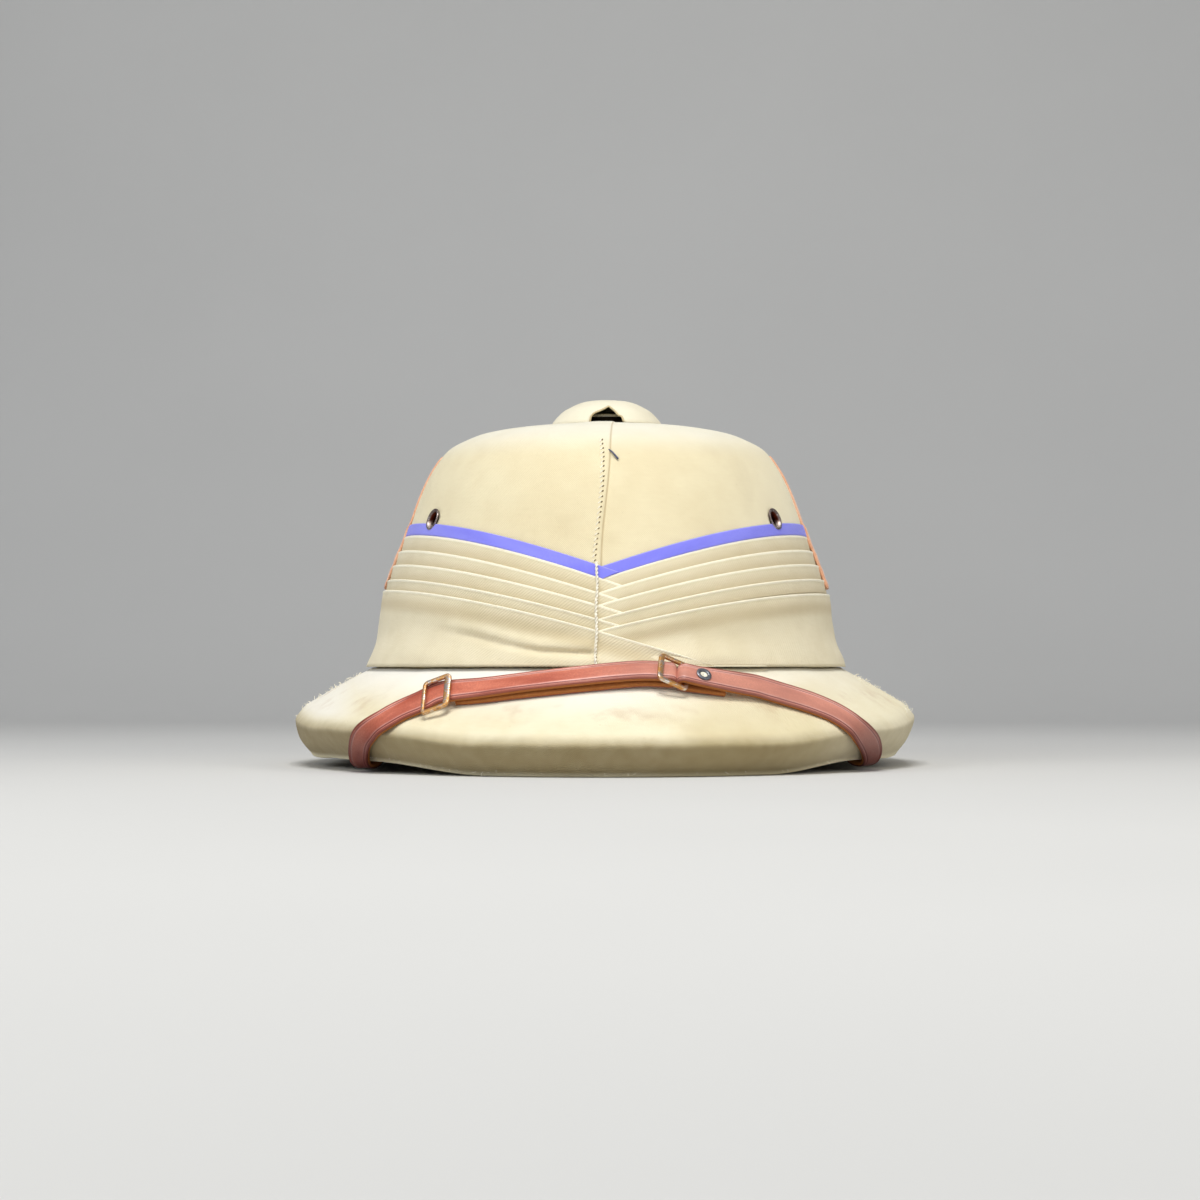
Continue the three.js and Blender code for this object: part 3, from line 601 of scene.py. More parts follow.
def brim_section(angle):
    """Rounded outline of the section, from the dome over the edge and back under it. At the tip of each side
    the edge is fuller and comes lower, and the left tip stands a little further out."""
    reach, lower, crease, at = brim_plane(angle)
    slope = (BRIM_TOP_Z - crease) / reach
    tip = ease(0.88, 0.99, abs(math.sin(angle)))
    fuller, swell, proud = (tip * more for more in (LEFT_TIP if math.sin(angle) < 0 else RIGHT_TIP))
    foot = reach - EDGE_TUCK + fuller
    lower -= TIP_DROP * tip
    reach += proud
    corners = [
        (0, BRIM_TOP_Z), (reach * 0.25, BRIM_TOP_Z * 0.75 + crease * 0.25 + 0.25),
        (reach / 2, (BRIM_TOP_Z + crease) / 2 + 0.4),
        (reach * 0.78, BRIM_TOP_Z * 0.22 + crease * 0.78 + 0.25),
        (reach - EDGE_ROUND, crease + slope * EDGE_ROUND),
        (reach - EDGE_ROUND / 4, crease - EDGE_ROUND / 4), (reach - 0.1 + swell / 3, crease - EDGE_ROUND),
        ((reach + foot) / 2 + swell, (crease - EDGE_ROUND + lower) / 2), (foot, lower + EDGE_BEVEL),
        (foot - EDGE_BEVEL, lower), (foot - EDGE_BEVEL - EDGE_LAND, lower + 0.02)]
    outline = list(smooth_run(corners, SECTION_STEPS))
    start = np.array([foot - EDGE_BEVEL - EDGE_LAND, lower + 0.02])
    end = np.array([0, BRIM_UNDER_Z])
    outline += [start + (end - start) * t for t in np.linspace(0.12, 1, 8)]
    return [at(along, z) for along, z in outline]


print("brim reach at the front:", round(brim_plane(0)[0], 1), "mm, at a side:", round(brim_plane(1.57)[0], 1))

# %% Brim mesh
brim_angles = [2 * math.pi * i / BRIM_COLUMNS for i in range(BRIM_COLUMNS)]
brim_columns = []
for angle in brim_angles:
    column = []
    for spot in brim_section(angle):
        point = spot * MM
        dent = uneven(point, 30, 0.4) + uneven(point, 8, 0.09)
        column.append(point + Vector((0, 0, dent * ease(2, 10, spot.z) * MM)))
    brim_columns.append(column)
# The crease starts at the sixth corner of the section, and the map runs so many millimetres for each radian
CREASE_ROW = 5 * SECTION_STEPS
BRIM_AROUND = 150


def from_crease(column):
    """Length along a section, counted from the crease of the edge."""
    lengths = np.cumsum([0] + [(b - a).length / MM for a, b in zip(column, column[1:] + column[:1])])
    return lengths - lengths[CREASE_ROW]


brim_maps = [
    [(BRIM_AROUND * angle, length) for length in from_crease(column)]
    for angle, column in zip(brim_angles + [2 * math.pi], brim_columns + brim_columns[:1])]
brim = add_mesh("brim_cover", *skin(brim_columns, brim_maps, ring=True))
face_out(brim)
print("brim columns:", len(brim_columns), "rows:", len(brim_columns[0]))

# %% [markdown]
# The brim has had the hardest life, and its cover is lightly stained below the leather strap. Its colour also
# carries painted light: a pale painted highlight near the dome and on the left shoulder, painted shade over
# the outer part on the right, and darker painted shade on the turned-down edge, which faces down away from
# the top lamp. All of it follows from the distance to the crease, which the map gives, with noise to keep
# the borders ragged. On the picture's right side the painted highlight is weaker, and the painted shade on
# its edge is lighter.

# %% Brim finish
brim_finish = cotton(
    "brim_cloth", rgb(244, 236, 206), rgb(233, 221, 184), rgb(200, 180, 138), rib_mm=0.7, rib_depth=0.12,
    soil_amount=0.3)


def brim_stain_and_painted_light(finish):
    cloth = finish.colour()
    ragged = finish.noise(6, 4)
    border = finish.across + (ragged - 0.5) * 1.6
    # Painted shade: the turned-down edge faces down, away from the top lamp, and is darkened, less on the
    # picture's right.
    edge = border.step(-4, 4.5) * (1 - finish.across.step(15.5, 19))
    kept = ragged * 0.2 + 0.76 - finish.x.step(0.07, 0.12) * 0.42
    # Painted light: paler near the dome and on the left shoulder, less so on the picture's right.
    painted_brim_light = (1 - border.step(-42, -6)) * (0.9 - finish.x.step(-0.02, 0.07) * 0.5)
    shoulder = (1 - finish.x.step(-0.118, -0.092)) * (1 - border.step(-8, 1)) * 0.75
    painted_brim_light = painted_brim_light.math("MAXIMUM", painted_brim_light, shoulder)
    # Painted shade: darker and browner over the outer part of the brim on the picture's right.
    painted_right_shade = finish.x.step(0.025, 0.05) * (1 - finish.x.step(0.085, 0.105)) * border.step(-40, -22)
    colour = (painted_right_shade * 0.4).blend(painted_brim_light.blend(cloth, rgb(252, 249, 240)), rgb(214, 198, 150))
    colour = (edge * kept).blend(colour, rgb(142, 123, 78))
    below = finish.across.step(-26, -20) * (1 - finish.across.step(-15, -4))
    stain = finish.noise(17, 4).step(0.52, 0.7) * below
    colour = (stain * 0.3).blend(colour, rgb(186, 150, 108))
    finish.set(Base_Color=colour)


brim_stain_and_painted_light(brim_finish)
settle(brim, brim_finish, "brim_cloth", "brim")

# %% [markdown]
# ## The wound band
# A long strip of khaki cotton, the puggaree, is pleated and wound round the dome. Each half comes from the
# back and dips to a point at the front, where the two halves cross like a plait: every fold lies over the
# one above it, first from one side, then from the other. The crossing is what the eye looks for, so the
# folds are not carved into one surface. Each fold is a flat tube of cloth of its own, stacked in the real
# order a fraction of a millimetre apart, and its rounded upper edge is the pale line that shows. The lowest
# fold on each side is the wide plain band, slightly dented. At the back the left half laps over the right
# one. Laid flat, the strip would be about 85 mm wide and 700 mm long, once round the dome.

# %% Height of a fold round the dome
V_CENTRE = math.radians(1.2)
V_POWER = 1.5
BAND_BOTTOM_Z = 43.55


def v_height(side, front, turn):
    """Height at a turn from the point of the V. Past the point, the fold keeps running down."""
    fall = 1 - math.sin(min(turn, math.pi / 2))
    return side - (side - front) * fall ** V_POWER


FOLDS = [
    # height at the side, height at the front, distance off the dome on the right and on the left
    (101.3, 79.6, 0.7, 1.0),
    (94.8, 73.7, 1.35, 1.7),
    (88.5, 68.6, 2.05, 2.4),
    (82.0, 62.8, 2.75, 3.1),
    (77.3, 58.0, 3.5, 3.95),
]
LAST_FOLD = len(FOLDS) - 1
FOLD_THICK = 0.45
FOLD_AROUND = 105
CREST_RISE = 0.28
LAST_RIGHT_DROP = 1.7
BACK_LAP = 0.04
# Angle in degrees and height of the crease that is pressed into the left half of the lowest fold
CREASE_LINE = [(-41, 58.7), (-30.2, 56.2), (-21.3, 52.5), (-12.8, 49.6), (-3.8, 48.8)]
print("folds on each side:", len(FOLDS))

# %% How a fold lies off the dome


def fold_bottom(index, turn):
    """A fold reaches well under the next one, and the last one reaches the brim."""
    if index == LAST_FOLD:
        return BAND_BOTTOM_Z
    side, front = FOLDS[min(index + 2, LAST_FOLD)][:2]
    return max(BAND_BOTTOM_Z + 0.5, v_height(side, front, turn) - 1.5)


def fold_off(index, hand, angle, share, z):
    """Distance off the dome from a fold's upper edge, where share is 0, to its lower edge. The end of a fold
    that is tucked under the next one sinks a little."""
    off = FOLDS[index][2 if hand > 0 else 3]
    spot = off_crown(angle, z, 0)
    past = math.degrees(hand * (V_CENTRE - angle))
    if index < LAST_FOLD:
        off -= 0.45 * (ease(0.9, 3, past) if hand > 0 else ease(5.2, 8, past))
        return off - 0.2 * ease(0, 0.6, share) + uneven(spot, 22, 0.1) * (1 - share)
    if hand > 0:
        off -= 1.6 * ease(0.3, 4.5, past)
    sag = 0.55 * math.sin(math.pi * min(1, share * 1.15)) ** 2
    long_dent = 0.75 * noise.noise(Vector((angle * 3.2 + 4 * hand, z * 0.085, 2.0 + hand)))
    flare = 0.55 * ease(0.62, 1.0, share)
    return off - sag + flare + long_dent * ease(0.05, 0.3, share) * (1 - ease(0.85, 1, share))


def crossing_crease(angle, z):
    """The pressed crease of the left band, which comes down to the cord low on the band."""
    degrees = math.degrees(angle)
    if not -46 < degrees < -0.2:
        return 0
    line = float(np.interp(degrees, *zip(*CREASE_LINE)))
    strength = ease(-45, -26, degrees)
    dent = (0.9 + 0.7 * ease(-24, -8, degrees)) * math.exp(-((z - line) / 1.35) ** 2)
    swell = 0.75 * math.exp(-((z - line - 3.6) / 2.2) ** 2)
    return strength * (swell - dent)


print("height of the plain band at the front:", round(FOLDS[LAST_FOLD][1] - BAND_BOTTOM_Z, 1), "mm")

# %% One fold as a closed flat tube


def make_fold(index, hand):
    """Columns round the dome for one fold. hand is 1 for the right half and -1 for the left half."""
    side, front = FOLDS[index][:2]
    centre = V_CENTRE if index == 0 else V_CENTRE / 3
    drop = LAST_RIGHT_DROP if index == LAST_FOLD and hand > 0 else 0
    lap = BACK_LAP if hand < 0 else 0
    past = math.radians(9 if index < LAST_FOLD else (5.5 if hand > 0 else 40))
    front_end = math.radians(24)
    turns = np.concatenate([
        np.linspace(-past, front_end, 60, endpoint=False),
        np.linspace(front_end, math.pi - centre * hand + lap, 70)])
    rows = 26 if index == LAST_FOLD else 9
    shares = [(row / rows) ** 1.3 for row in range(rows + 1)]
    columns, maps = [], []
    for turn in turns:
        angle = centre + hand * turn
        top = v_height(side - drop * ease(2.7, 1.9, turn), front, turn)
        bottom = fold_bottom(index, turn)
        top = max(top, bottom + 0.4)
        outer, inner, down = [], [], []
        for row, share in enumerate(shares):
            z = top + (bottom - top) * share
            off = fold_off(index, hand, angle, share, z)
            if index == LAST_FOLD and hand < 0:
                off += crossing_crease(angle, z)
            roll = 0.32 * math.exp(-((top - z) / 0.8) ** 2)
            outer.append(off_crown(angle, z, off + roll))
            thick = FOLD_THICK * (0.55 if row in (0, rows) else 1)
            inner.append(off_crown(angle, z, off - thick))
            down.append(top + CREST_RISE - z)
        crest = off_crown(angle, top + CREST_RISE, fold_off(index, hand, angle, 0, top) - 0.1)
        columns.append([crest] + outer + inner[::-1])
        maps.append([(hand * FOLD_AROUND * turn, depth) for depth in [0] + down + down[::-1] + [0]])
    if hand < 0:
        columns.reverse()
        maps.reverse()
    return skin(columns, maps)


print("points of the first fold:", len(make_fold(0, 1)[0]))

# %% Stack the folds
puggaree_parts = []
for fold_index in range(len(FOLDS)):
    for fold_hand in (1, -1):
        part = add_mesh("fold", *make_fold(fold_index, fold_hand))
        face_out(part)
        puggaree_parts.append(part)


def join(name, parts):
    """One mesh object from several, which are removed."""
    work = bmesh.new()
    for part in parts:
        work.from_mesh(part.data)
    data = bpy.data.meshes.new(name)
    work.to_mesh(data)
    work.free()
    data.polygons.foreach_set("use_smooth", [True] * len(data.polygons))
    for part in parts:
        bpy.data.objects.remove(part)
    return add_object(name, data)


puggaree = join("puggaree_folds", puggaree_parts)
print("folds joined:", len(puggaree.data.polygons), "faces")

# %% [markdown]
# The band's cotton is a coarser twill than the dome's and a shade greyer. Its slanted ribs run from lower
# left to upper right and can be seen at arm's length, so they are also drawn faintly in the colour. Each
# rounded upper edge gets a pale painted highlight, and painted shade runs down the fold below it; both are
# read from the map's distance from the edge.

# %% Band finish
puggaree_finish = cotton(
    "puggaree_cloth", rgb(236, 226, 196), rgb(226, 214, 180), rgb(194, 177, 138), rib_mm=0.95, rib_depth=0.11,
    soil_amount=0.2)


def paint_fold_light_and_shade(finish):
    """A painted highlight along each rounded upper edge, and a little painted shade down the fold."""
    cloth = finish.colour()
    # Painted highlight along each fold's rounded upper edge, where the light from above catches it.
    rubbed = (1 - finish.across.step(0.7, 1.3)) * (finish.noise(5, 3).step(0.2, 0.5) * 0.35 + 0.35)
    # Painted shade down each fold, below its highlight.
    shade = finish.across.step(0.9, 6) * (1 - finish.across.step(6.5, 11))
    colour = (shade * 0.6).blend(cloth, rgb(200, 182, 142))
    finish.set(Base_Color=rubbed.blend(colour, rgb(252, 247, 226)))


paint_fold_light_and_shade(puggaree_finish)
settle(puggaree, puggaree_finish, "puggaree_cloth", "puggaree")

# %% [markdown]
# ## The violet tape
# A narrow woven tape is laid along the top of the folds. Its two halves meet at the point of the V, and the
# left end is laid over the right one and cut off along the right half's lower edge. Two thin closed strips
# on the dome's rule are enough, because a tape this flat has no folds to simulate. Each eyelet goes through
# the tape's upper edge, so both halves are drilled for it.

# %% Tape mesh
TAPE_SIDE = 104.2
TAPE_FRONT = 82.2
TAPE_WIDTH = 5.3
TAPE_THICK = 0.35
TAPE_LAP = math.radians(4)
TAPE_STEPS = 140
TAPE_AROUND = 98


def make_tape(hand):
    """One half of the tape, as a thin strip with a slightly raised middle. hand is as for the folds."""
    off = 0.45 if hand > 0 else 0.85
    columns, maps = [], []
    shares = np.linspace(0, 1, 9)
    for step in range(TAPE_STEPS + 1):
        column, places = [], []
        for face in (1, 0):
            for share in (shares if face else shares[::-1]):
                start = -TAPE_LAP * (1 - share) if hand < 0 else math.radians(-0.5)
                turn = start + (math.pi - hand * V_CENTRE - start) * (step / TAPE_STEPS) ** 1.5
                angle = V_CENTRE + hand * turn
                z = v_height(TAPE_SIDE, TAPE_FRONT, turn) + TAPE_WIDTH * (0.5 - share)
                raised = 0.12 * (1 - (2 * share - 1) ** 4) * face
                wave = uneven(off_crown(angle, z, 0), 14, 0.06)
                settled = off - (0.4 * ease(math.radians(3), math.radians(9), turn) if hand < 0 else 0)
                column.append(off_crown(angle, z, settled + TAPE_THICK * face + raised + wave))
                places.append((TAPE_AROUND * turn * hand, share * TAPE_WIDTH))
        columns.append(column)
        maps.append(places + places[:1])
    if hand < 0:
        columns.reverse()
        maps.reverse()
    part = add_mesh("tape_half", *skin(columns, maps))
    face_out(part)
    return part


tape_halves = [make_tape(1), make_tape(-1)]
for half, side in zip(tape_halves, ("right", "left")):
    drill_eyelet(half, side, 6)
ribbon = join("violet_tape", tape_halves)
print("tape faces:", len(ribbon.data.polygons))

# %% [markdown]
# The tape is a tight weave of violet-blue thread. Its cross threads show as fine upright ribs, its two
# woven edges have faded to a thin pale line, and the dye is a little uneven along its length.

# %% Tape finish
tape = Finish("ribbon_tape")
cross_ribs = tape.along.wave(1 / 0.55)
fading = tape.noise(16, 4, tape.map, (0.4, 1.5, 1))
edge_line = 1 - tape.across.step(0.12, 0.42) * (1 - tape.across.step(TAPE_WIDTH - 0.42, TAPE_WIDTH - 0.12))
dye = (fading.step(0.3, 0.7) * 0.6 + cross_ribs * 0.25).blend(rgb(118, 118, 238), rgb(148, 149, 255))
frayed = tape.noise(1.2, 3, tape.map).step(0.3, 0.55)
tape.set(
    Base_Color=(edge_line * (frayed * 0.3 + 0.1)).blend(dye, rgb(196, 192, 232)),
    Roughness=fading * 0.2 + 0.5,
    Normal=tape.bump(cross_ribs + tape.across.wave(1 / 0.5) * 0.4, 0.07),
    Sheen_Weight=0.2,
)
settle(ribbon, tape, "ribbon_tape", "ribbon")

# %% [markdown]
# ## Recipes for what repeats
# Stitches, cords and loose fibres are the same small shape many times over, or one section carried along a
# path. Geometry Nodes suit both. A recipe below is a node tree with named sizes; it is run on a guide
# object, and its result is taken off as a plain mesh, so nothing depends on the recipe afterwards.

# %% A recipe


class Recipe:
    """A Geometry Nodes tree whose inputs are the sizes of one kind of detail."""

    def __init__(self, name, **sizes):
        self.tree = bpy.data.node_groups.new(name, "GeometryNodeTree")
        face = self.tree.interface
        face.new_socket("Guide", in_out="INPUT", socket_type="NodeSocketGeometry")
        self.keys = {}
        for label, value in sizes.items():
            kind = "NodeSocketInt" if isinstance(value, int) else "NodeSocketFloat"
            socket = face.new_socket(label, in_out="INPUT", socket_type=kind)
            socket.default_value = value
            self.keys[label] = socket.identifier
        face.new_socket("Detail", in_out="OUTPUT", socket_type="NodeSocketGeometry")
        inward = self.tree.nodes.new("NodeGroupInput")
        self.guide = inward.outputs["Guide"]
        self.size = {label: inward.outputs[label] for label in sizes}

    def node(self, kind, settings=None, values=None, out=0):
        made = self.tree.nodes.new(kind)
        for name, value in (settings or {}).items():
            setattr(made, name, value)
        for key, value in (values or {}).items():
            if isinstance(value, bpy.types.NodeSocket):
                self.tree.links.new(value, made.inputs[key])
            else:
                made.inputs[key].default_value = value
        return made.outputs[out]

    def maths(self, operation, first, second=0.0):
        return self.node("ShaderNodeMath", {"operation": operation}, {0: first, 1: second})

    def scatter(self, low, high, seed):
        """A different value between low and high for each point."""
        return self.node(
            "FunctionNodeRandomValue", {"data_type": "FLOAT"}, {2: low, 3: high, "Seed": seed}, out=1)

    def walk(self, label):
        """Points along the guide, as far apart as one of the sizes."""
        line = self.node("GeometryNodeMeshToCurve", values={0: self.guide})
        return self.node(
            "GeometryNodeResampleCurve", {"mode": "LENGTH"}, {"Curve": line, "Length": self.size[label]})

    def stand(self):
        """The rotation that stands a shape up along the guide's way out of the surface."""
        out = self.node("GeometryNodeInputNamedAttribute", {"data_type": "FLOAT_VECTOR"}, {"Name": "outward"})
        return self.node("FunctionNodeAlignRotationToVector", {"axis": "Z"}, {"Vector": out})

    def lean(self, rotation, **angles):
        """The same rotation, leaned on by angles about the shape's own axes."""
        angles = self.node("ShaderNodeCombineXYZ", values={key.upper(): a for key, a in angles.items()})
        return self.node(
            "FunctionNodeRotateRotation", {"rotation_space": "LOCAL"},
            {0: rotation, 1: self.node("FunctionNodeEulerToRotation", values={0: angles})})

    def paint(self, shape, finish):
        return self.node(
            "GeometryNodeSetMaterial", values={"Geometry": shape, "Material": finish.material})

    def end(self, *shapes):
        joined = self.tree.nodes.new("GeometryNodeJoinGeometry")
        for shape in reversed(shapes):
            self.tree.links.new(shape, joined.inputs[0])
        real = self.node("GeometryNodeRealizeInstances", values={0: joined.outputs[0]})
        outward = self.tree.nodes.new("NodeGroupOutput")
        self.tree.links.new(real, outward.inputs["Detail"])


print("recipe class ready")

# %% Using a recipe on a guide


def grow(name, guide, recipe, **sizes):
    """Runs a recipe on a guide object, which is then removed, and returns a plain mesh object."""
    modifier = guide.modifiers.new("recipe", "NODES")
    modifier.node_group = recipe.tree
    for label, value in sizes.items():
        modifier[recipe.keys[label]] = value
    depsgraph = bpy.context.evaluated_depsgraph_get()
    mesh = bpy.data.meshes.new_from_object(guide.evaluated_get(depsgraph))
    bpy.data.objects.remove(guide)
    mesh.name = name
    mesh.polygons.foreach_set("use_smooth", [True] * len(mesh.polygons))
    return add_object(name, mesh)


def guide_line(points, outs):
    """A line of edges, with the way out of the surface kept at each point."""
    mesh = bpy.data.meshes.new("guide_line")
    mesh.from_pydata(points, [(i, i + 1) for i in range(len(points) - 1)], [])
    kept = mesh.attributes.new("outward", "FLOAT_VECTOR", "POINT")
    kept.data.foreach_set("vector", np.array([tuple(o) for o in outs], np.float32).ravel())
    return add_object("guide_line", mesh)


print("guides ready")

# %% [markdown]
# ## The front seam
# The lapped seam is closed with slip stitches: slanted pale threads, each going down through a small dark
# needle hole. They could be drawn in the cover's colour, but real threads catch the light. The recipe walks
# the seam line, sets one thread and one hole at each step, and leans the threads to one side. The line
# itself strays a millimetre or two from the middle, as sewing by hand does.

# %% Thread finishes
thread = Finish("seam_cord")
strand = thread.noise(0.5, 3)
thread.set(
    Base_Color=(strand.step(0.3, 0.7) * 0.7 + thread.noise(9) * 0.3).blend(
        rgb(242, 234, 208), rgb(255, 252, 242)),
    Roughness=strand * 0.2 + 0.7,
    Normal=thread.bump(strand, 0.05),
)
needle_hole = Finish("needle_hole")
needle_hole.set(
    Base_Color=needle_hole.noise(0.6).blend(rgb(88, 74, 48), rgb(126, 108, 74)), Roughness=0.95)
print("thread finishes ready")

# %% Slip stitch recipe
slip = Recipe("slip_stitch", Pitch=0.0024, Length=0.0022, Thickness=0.00045, Slant=-0.6, Seed=3)
slip_points = slip.walk("Pitch")
slip_along = slip.node(
    "FunctionNodeAlignRotationToVector", {"axis": "X", "pivot_axis": "Z"},
    {"Rotation": slip.stand(), "Vector": slip.node("GeometryNodeInputTangent")})
slip_turn = slip.lean(
    slip_along, z=slip.maths("ADD", slip.size["Slant"], slip.scatter(-0.2, 0.2, slip.size["Seed"])))
slip_bead = slip.node("GeometryNodeMeshUVSphere", values={"Segments": 8, "Rings": 6, "Radius": 0.5})
slip_thread = slip.node("GeometryNodeTransform", values={
    "Geometry": slip_bead,
    "Scale": slip.node("ShaderNodeCombineXYZ", values={
        0: slip.size["Length"], 1: slip.size["Thickness"], 2: slip.size["Thickness"]})})
slip_hole = slip.node("GeometryNodeTransform", values={
    "Geometry": slip_bead, "Translation": (0.0008, -0.00055, -0.00004), "Scale": (0.0012, 0.0006, 0.0002)})
slip.end(*[
    slip.node("GeometryNodeInstanceOnPoints", values={
        "Points": slip_points, "Instance": slip.paint(shape, finish), "Rotation": slip_turn})
    for shape, finish in ((slip_thread, thread), (slip_hole, needle_hole))])
print("slip stitch nodes:", len(slip.tree.nodes))

# %% Sew the seam
SEAM_BOTTOM_Z = 85.5
SEAM_TOP_Z = 138.5
# Height of the line and how far it strays from the middle
SEAM_LINE = [
    (86, -1.8), (95, -1.05), (102, -0.3), (107, 0.15), (115, 0.9), (122, 1.25), (131, 1.2), (140, 0.2)]
seam_points, seam_outs = [], []
for half, z in outer_rows:
    if not SEAM_BOTTOM_Z < z < SEAM_TOP_Z:
        continue
    aside = float(np.interp(z, *zip(*SEAM_LINE)))
    spot = on_oval(aside / half, half, z)
    out = place_on_crown(0, z, 0)[2]
    seam_points.append(spot + out * (lapped(spot) + 0.1 + uneven(spot, 34, 0.35)) * MM)
    seam_outs.append(out)
seam_stitches = grow("seam_stitches", guide_line(seam_points, seam_outs), slip)
settle(seam_stitches, None, "seam_cord")

# %% [markdown]
# ## The seam cord
# From the tape down to the brim the seam is covered by a thin two-ply cord. Two round strands side by side
# are swept along the cord's path while the section turns, which twists them as the cord maker does. One
# round tube would be simpler, but its outline would be too smooth.

# %% Twisted cord recipe
cord_recipe = Recipe("twisted_cord", Strand=0.00036, Spread=0.0003, Turn=0.55, Step=0.0003)
cord_twist = cord_recipe.maths(
    "MULTIPLY", cord_recipe.node("GeometryNodeInputIndex"), cord_recipe.size["Turn"])
cord_curve = cord_recipe.node(
    "GeometryNodeSetCurveTilt", values={"Curve": cord_recipe.walk("Step"), "Tilt": cord_twist})
strand_ring = cord_recipe.node(
    "GeometryNodeCurvePrimitiveCircle", values={"Resolution": 8, "Radius": cord_recipe.size["Strand"]})
cord_shapes = []
for side in (1, -1):
    aside = cord_recipe.maths("MULTIPLY", cord_recipe.size["Spread"], float(side))
    shift = cord_recipe.node("ShaderNodeCombineXYZ", values={0: aside})
    ring = cord_recipe.node("GeometryNodeTransform", values={"Geometry": strand_ring, "Translation": shift})
    cord_shapes.append(cord_recipe.node(
        "GeometryNodeCurveToMesh", values={"Curve": cord_curve, "Profile Curve": ring, "Fill Caps": True}))
cord_recipe.end(*cord_shapes)
print("cord nodes:", len(cord_recipe.tree.nodes))

# %% Lay the cord


def front_off(z):
    """How far the topmost layer stands off the dome on the seam line."""
    if z > TAPE_FRONT + TAPE_WIDTH / 2 + 0.3:
        return LAP_RISE
    for index in reversed(range(len(FOLDS))):
        top = v_height(*FOLDS[index][:2], V_CENTRE)
        if z < top + 0.6:
            bottom = fold_bottom(index, V_CENTRE)
            share = max(0, (top - z) / (top - bottom))
            crease = crossing_crease(-0.01, z) if index == LAST_FOLD else 0
            return fold_off(index, -1, 0, share, z) + crease + 0.2
    return 1.4


cord_heights = np.arange(TAPE_FRONT + TAPE_WIDTH / 2 + 1.6, BAND_BOTTOM_Z + 0.5, -1.0)
cord_rows = [(z, max(front_off(z + d) for d in (-1, -0.5, 0, 0.5, 1))) for z in cord_heights]
cord_path = smooth_run([off_crown(0.002 * math.sin(z * 0.35), z, off + 0.45) for z, off in cord_rows], 4)
cord_guide = guide_line([Vector(p) for p in cord_path], [Vector((0, -1, 0))] * len(cord_path))
seam_cord = grow("seam_cord_twist", cord_guide, cord_recipe)
face_out(seam_cord, 0.0)
settle(seam_cord, thread, "seam_cord", "seam_cord")

# %% [markdown]
# ## The ventilator cap
# On top sits a low domed cap with a small pointed gap at the front, so air can leave the crown. It is
# turned from a curve, given a wall, and the gap is cut out along an uneven outline. The cloth's turned edge
# is a thin roll along that outline, a little browner than the rest: painted shade where the cloth turns in.
# Through the gap shows the pale rim of a tin collar round the vent hole; below its rim the collar is
# painted near black, as shade under the cap.

# %% Cap mesh
CAP_SEAT_Z = 152.4
CAP_WALL = 1.5
CAP_SIDES = 96
CAP_PROFILE = [(25, 0), (24.8, 1), (24.2, 2), (22.2, 4.4), (19, 7.2), (12, 10.5), (5, 11.7), (0.4, 11.9)]
GAP_OUTLINE = [
    (-6.6, 0.2), (-6.2, 2.5), (-5.4, 3.7), (-4.1, 4.6), (-1.8, 5.6), (0.2, 6.7), (1.5, 7.5), (2.8, 6.5),
    (4.3, 5.2), (5.2, 4.1), (6.1, 3.2), (7.5, 2.5), (8.4, 0.2)]


CAP_AROUND = CAP_PROFILE[0][0]


def turned(rows, sides):
    """Columns of a shape turned about the dome's upright axis, from rows of radius and height."""
    centre = Vector((0, -CROWN_FORWARD, 0))
    columns = []
    for i in range(sides):
        turn = 2 * math.pi * i / sides
        columns.append([
            (Vector((r * math.sin(turn), -r * math.cos(turn), z)) + centre) * MM for r, z in rows])
    return columns


def turned_maps(rows, sides):
    lengths = np.concatenate([[0], np.cumsum([
        math.dist(a, b) for a, b in zip(rows, list(rows[1:]) + [rows[0]])])])
    return [[(CAP_AROUND * 2 * math.pi * i / sides, length) for length in lengths] for i in range(sides + 1)]


cap_curve = smooth_run(CAP_PROFILE, 4)
cap_outer = [(r, CAP_SEAT_Z + up) for r, up in cap_curve]
cap_inner = [(max(0.4, r - CAP_WALL), CAP_SEAT_Z + max(0, up - CAP_WALL)) for r, up in cap_curve[::-1]]
cap_rows = cap_outer + [(0, cap_outer[-1][1]), (0, cap_inner[0][1])] + cap_inner
cap_columns = [
    [p + Vector((0, 0, uneven(p, 16, 0.25) * MM * ease(1, 6, p.z / MM - CAP_SEAT_Z))) for p in column]
    for column in turned(cap_rows, CAP_SIDES)]
vent_cap = add_mesh("vent_cap_cover", *skin(cap_columns, turned_maps(cap_rows, CAP_SIDES), ring=True))
face_out(vent_cap)


def cut_gap(piece):
    """Cuts the pointed gap out of the front of the cap."""
    front, back = -60, -CROWN_FORWARD - 12
    corners = [(GAP_OUTLINE[0][0], -2)] + GAP_OUTLINE + [(GAP_OUTLINE[-1][0], -2)]
    points = [Vector((x, y, CAP_SEAT_Z + up)) * MM for y in (front, back) for x, up in corners]
    count = len(corners)
    faces = [tuple(range(count)), tuple(reversed(range(count, 2 * count)))]
    faces += [(i, i + count, (i + 1) % count + count, (i + 1) % count) for i in range(count)]
    cutter = add_mesh("gap_cutter", points, faces)
    face_out(cutter)
    cut_away(piece, cutter)


cut_gap(vent_cap)
print("cap faces:", len(vent_cap.data.polygons))

# %% Tubes along a path


